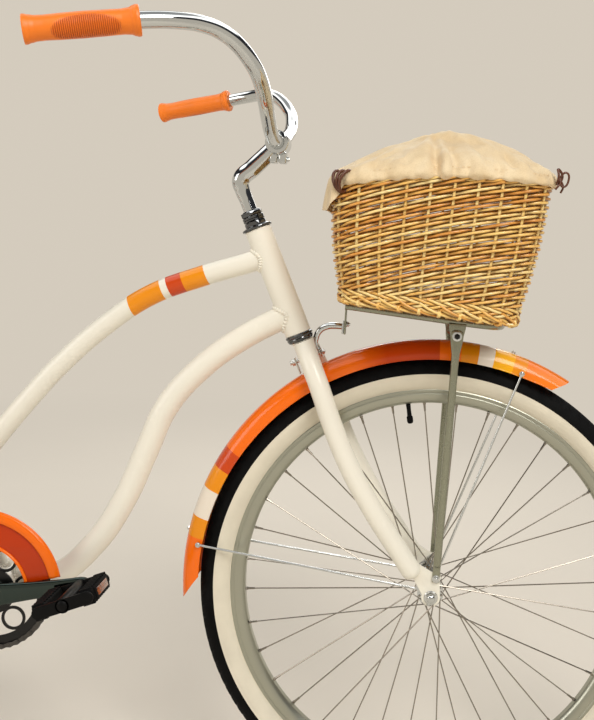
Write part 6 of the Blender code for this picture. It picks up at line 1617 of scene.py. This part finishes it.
def build_pedal(side, label):
    """Block pedal: tread bars with cross ribs, barrel, black end plates and reflectors at both ends."""
    centre = CRANK + crank_way(side) * CRANK_LENGTH
    along, up = heading(PEDAL_ANGLE), heading(PEDAL_ANGLE + 90)
    middle = centre + Y * side * 0.1195
    rubber, lenses = [], []
    for sign in (1, -1):
        spot = middle + along * sign * 0.037
        rubber.append(block("tread", spot, (0.021, 0.076, 0.0205), up, 0.0035))
        for face in (1, -1):
            for number in range(9):
                y = (number - 4) * 0.0084
                rubber.append(block("nub", spot + Y * y + up * face * 0.0108, (0.0185, 0.0048, 0.0034), up, 0.0009))
        frame_spot = middle + along * sign * 0.0478
        rubber.append(block("lens_frame", frame_spot, (0.0030, 0.060, 0.0190), up, 0.0010))
        lenses.append(block("lens", frame_spot + along * sign * 0.0010, (0.0026, 0.046, 0.0115), up, 0.0008))
    fit("pedal_tread_" + label, rubber, BLACK_RUBBER, "pedal_" + label)
    fit("pedal_lens_" + label, lenses, LENS, "pedal_" + label)
    body = [rod("barrel", centre + Y * side * 0.0767, centre + Y * side * 0.1620, 0.0112, 32, None, 0.0010)]
    for y in (0.0790, 0.1600):
        outline = arc(0.0095, 90, 270, 9, (-0.0380, 0.0)) + arc(0.0095, 270, 450, 9, (0.0380, 0.0))
        end = plate("end_plate", [outline], 0.0040, Vector((0, 0, 0)), 0.0009)
        turn = Matrix.Rotation(-math.radians(PEDAL_ANGLE), 4, "Y")
        end.data.transform(Matrix.Translation(centre + Y * side * y) @ turn)
        body.append(end)
    cap = turned("pedal_cap", [(0, 0.0040), (0.0050, 0.0036), (0.0078, 0.0016), (0.0080, 0.0), (0, 0.0)],
                 centre + Y * side * 0.1612, Y * side, 32)
    fit("pedal_body_" + label, body, BLACK_PLASTIC, "pedal_" + label)
    fit("pedal_cap_" + label, [cap], BLACK_PLASTIC, "pedal_" + label)


# Seat and stand

def build_seat():
    """Post, clamp, rails, springs and the padded saddle."""
    settle(copied("seat_clamp", 0.0005), CHROME, "seat_clamp")
    settle(rod("seatpost_dressed", seat_axis(0.25), seat_axis(0.55), 0.0127, 48, None, 0.0006), CHROME, "seatpost")
    settle(copied("saddle_rails", 0.0003, 50), BLACK_STEEL, "saddle_rails")
    low, high, coils, fine = -0.0092, 0.0357, 4, 24
    for side, label in SIDES:
        def beside(x, y, z):
            return saddle_at(-0.090 + x, side * 0.062 + y, z)

        path = []
        for step in range(coils * fine + 1):
            turn = 2 * math.pi * step / fine
            path.append(beside(0.0141 * math.cos(turn), 0.0141 * math.sin(turn),
                               low + 0.0036 + (high - low - 0.0072) * step / (coils * fine)))
        coil = [swept("coil", path, 0.0024, 12, 1, straight=True)]
        for z in (low, high - 0.002):
            coil.append(rod("seat_disc", beside(0, 0, z), beside(0, 0, z + 0.002), 0.0172, 36, None, 0.0004))
        fit("saddle_spring_dressed_" + label, coil, SPRING_STEEL, "saddle_spring_" + label)
    build_saddle()


def saddle_ring(along, shrink=0.0):
    """Closed section of the saddle at a share of its length."""
    table = [(0.0, 0.10, 0.62), (0.04, 0.17, 0.80), (0.14, 0.21, 0.92), (0.30, 0.27, 0.94), (0.45, 0.42, 0.92),
             (0.60, 0.70, 0.94), (0.74, 0.92, 1.0), (0.88, 0.99, 1.04), (0.96, 0.90, 0.98), (1.0, 0.70, 0.74)]
    for (a, wa, ha), (b, wb, hb) in zip(table, table[1:]):
        if along <= b + 1e-9:
            share = (along - a) / (b - a)
            width, height = wa + (wb - wa) * share, ha + (hb - ha) * share
            break
    half = 0.115 * width - shrink
    top = 0.058 * height - shrink
    section = [(0, top), (0.22, top * 0.998), (0.42, top * 0.985), (0.62, top * 0.94), (0.78, top * 0.86),
               (0.90, top * 0.73), (0.97, top * 0.58), (1.0, top * 0.42), (1.0, top * 0.28), (0.97, top * 0.12),
               (0.93, 0.0), (0.70, 0.0), (0.40, 0.0)]
    x = 0.150 - 0.255 * along
    ring = [(y * half, z) for y, z in section] + [(0, 0.0)] + [(-y * half, z) for y, z in section[:0:-1]]
    return [saddle_at(x, y, 0.036 + z) for y, z in ring]


def build_saddle():
    """Wide sprung saddle, its cover swelled by a short cloth run, with piping and stitches."""
    rows = [saddle_ring(i / 44, 0.0012) for i in range(45)]
    saddle = grid("saddle_dressed", rows, False, True, 70)
    edit(saddle, fill_ends, lambda: bpy.ops.mesh.quads_convert_to_tris(), outward)
    with_change(saddle, "REMESH", mode="VOXEL", voxel_size=0.005, use_smooth_shade=True)
    floor = saddle_at(0, 0, 0.0375).z
    order = [v.index for v in saddle.data.vertices if v.co.z < floor]
    form = bmesh.new()
    form.from_mesh(saddle.data)
    form.verts.ensure_lookup_table()
    low = set(order)
    form.verts.sort(key=lambda v: 0 if v.index in low else 1)
    form.to_mesh(saddle.data)
    form.free()
    swell_cloth(saddle, len(order), 0.0035)
    for vertex in saddle.data.vertices:
        vertex.co.z = max(vertex.co.z, saddle_at(0, 0, 0.0362).z)
    with_change(saddle, "SUBSURF", levels=1, render_levels=1)
    settle(smooth(saddle, 70), SADDLE_LEATHER, "saddle")
    rim = [saddle_ring(i / 60)[9] for i in range(61)] + [saddle_ring(1 - i / 60)[-9] for i in range(61)]
    fit("saddle_piping", [swept("piping", rim, 0.0016, 10, 1, None, True, True)], STRAP_LEATHER, "saddle")
    form = bmesh.new()
    for index in (7, -7):
        out = Y * math.copysign(0.0006, index)
        for number in range(84):
            a, b = (saddle_ring(0.02 + 0.96 * (number + part) / 84)[index] + out for part in (0, 0.6))
            pin(form, a, b, 0.0005, 0.0005, 6)
    settle(form_piece("saddle_stitches", form), STITCH, "saddle")


def build_stand():
    """Side stand with its rubber foot, and the bracket on the chainstay."""
    settle(copied("side_stand_bracket", 0.0008), ZINC, "side_stand_bracket")
    settle(copied("side_stand", 0.0006), CHROME, "side_stand")


# Light, floor and camera

BACKDROP = (0.66, 0.60, 0.51, 1)


def build_stage():
    """Pale floor, soft lamps and the camera of the photograph."""
    pick_none()
    bpy.ops.mesh.primitive_plane_add(size=24, location=(0, 0, -0.0005))
    floor = bpy.context.object
    floor.name = "pale_floor"
    ground = Finish("pale_floor")
    ground.relief(ground.noise(40, 3), 0.0002, 0.2)
    tone = ground.varied((0.80, 0.74, 0.645, 1), 0.012, 2)
    floor.data.materials.append(ground.dress(tone, 0.9, 0.0, 0.0, 0.03, specular=0.1))
    reach = ground.add("ShaderNodeVectorMath", {0: ground.place}, operation="LENGTH").outputs["Value"]
    fade = ground.add("ShaderNodeMapRange", {"Value": reach, "From Min": 1.3, "From Max": 4.2},
                      interpolation_type="SMOOTHSTEP").outputs[0]
    glow = ground.add("ShaderNodeEmission", {"Color": BACKDROP, "Strength": 1.0})
    blend = ground.add("ShaderNodeMixShader", {0: fade, 1: ground.shader.outputs[0], 2: glow.outputs[0]})
    ground.feed(ground.nodes["Material Output"].inputs["Surface"], blend.outputs[0])
    bpy.context.scene.world = bpy.data.worlds.new("studio")
    studio = Tree(bpy.context.scene.world)
    sky = studio.nodes["Background"]
    sky.inputs["Color"].default_value = (0.66, 0.655, 0.64, 1)
    sky.inputs["Strength"].default_value = 0.66
    place = studio.add("ShaderNodeTexCoord").outputs["Generated"]
    height = studio.sum("MULTIPLY_ADD", studio.add("ShaderNodeSeparateXYZ", {0: place}).outputs["Z"], 0.5, 0.5)
    bands = ((0.0, BACKDROP), (0.635, BACKDROP), (0.655, (0.05, 0.05, 0.055, 1)), (0.81, (0.03, 0.03, 0.035, 1)),
             (0.84, (2.3, 2.28, 2.22, 1)), (0.92, (2.0, 1.98, 1.94, 1)), (0.95, (0.5, 0.5, 0.5, 1)),
             (1.0, (0.4, 0.4, 0.4, 1)))
    bright = studio.add("ShaderNodeBackground", {"Color": studio.ramp(height, bands), "Strength": 1.0})
    rays = studio.add("ShaderNodeLightPath").outputs
    seen = studio.sum("MAXIMUM", studio.sum("MAXIMUM", rays["Is Camera Ray"], rays["Is Glossy Ray"]),
                      rays["Is Transmission Ray"])
    choose = studio.add("ShaderNodeMixShader", {0: seen, 1: sky.outputs[0], 2: bright.outputs[0]})
    studio.feed(studio.nodes["World Output"].inputs["Surface"], choose.outputs[0])
    for name, spot, aim, size, power in (("key", (1.6, -2.8, 3.2), (0.1, 0, 0.5), 1.8, 92),
                                         ("side", (-2.8, -1.6, 1.8), (0, 0, 0.5), 1.6, 26),
                                         ("back", (0.6, 3.2, 2.6), (0, 0, 0.5), 2.0, 44)):
        lamp = bpy.data.lights.new(name, "AREA")
        lamp.size = size
        lamp.energy = power
        lamp.color = (1.0, 0.97, 0.93)
        light = linked(name, lamp)
        light.location = spot
        light.rotation_euler = (Vector(aim) - Vector(spot)).to_track_quat("-Z", "Y").to_euler()
    lens = bpy.data.cameras.new("camera")
    lens.sensor_fit = "AUTO"
    lens.sensor_width = 36.0
    wide, high, focal, middle_x, middle_y = 594.0, 720.0, 985.42, 366.85, 297.13
    lens.lens = focal * lens.sensor_width / high
    lens.shift_x = (wide / 2 - middle_x) / high
    lens.shift_y = -(high / 2 - middle_y) / high
    camera = linked("camera", lens)
    right = Vector((0.99747, 0.03218, 0.06333)).normalized()
    ahead = Vector((-0.02932, 0.99853, -0.04568)).normalized()
    upward = right.cross(ahead)
    facing = Matrix((right, upward, -ahead)).transposed().to_4x4()
    camera.matrix_world = Matrix.Translation(at(-0.0837055, -1.5572466, 0.5260542)) @ facing
    bpy.context.scene.camera = camera
    bpy.context.scene.view_settings.view_transform = "Standard"


build_stage()
build_frame()
build_fork()
build_headset()
build_crown_pieces()
build_rack()
build_stem_and_bar()
for prefix, hub, flange_y, flange_radius in (("front", HUB, 0.0345, 0.0205), ("rear", REAR, 0.030, 0.032)):
    build_tyre(prefix, hub)
    build_rim(prefix, hub)
    build_spokes(prefix, hub, flange_y, flange_radius)
build_hubs()
build_fenders()
build_basket()
build_cover()
build_ties()
build_chain()
build_guard()
build_crank()
for side, label in SIDES:
    build_pedal(side, label)
build_seat()
build_stand()
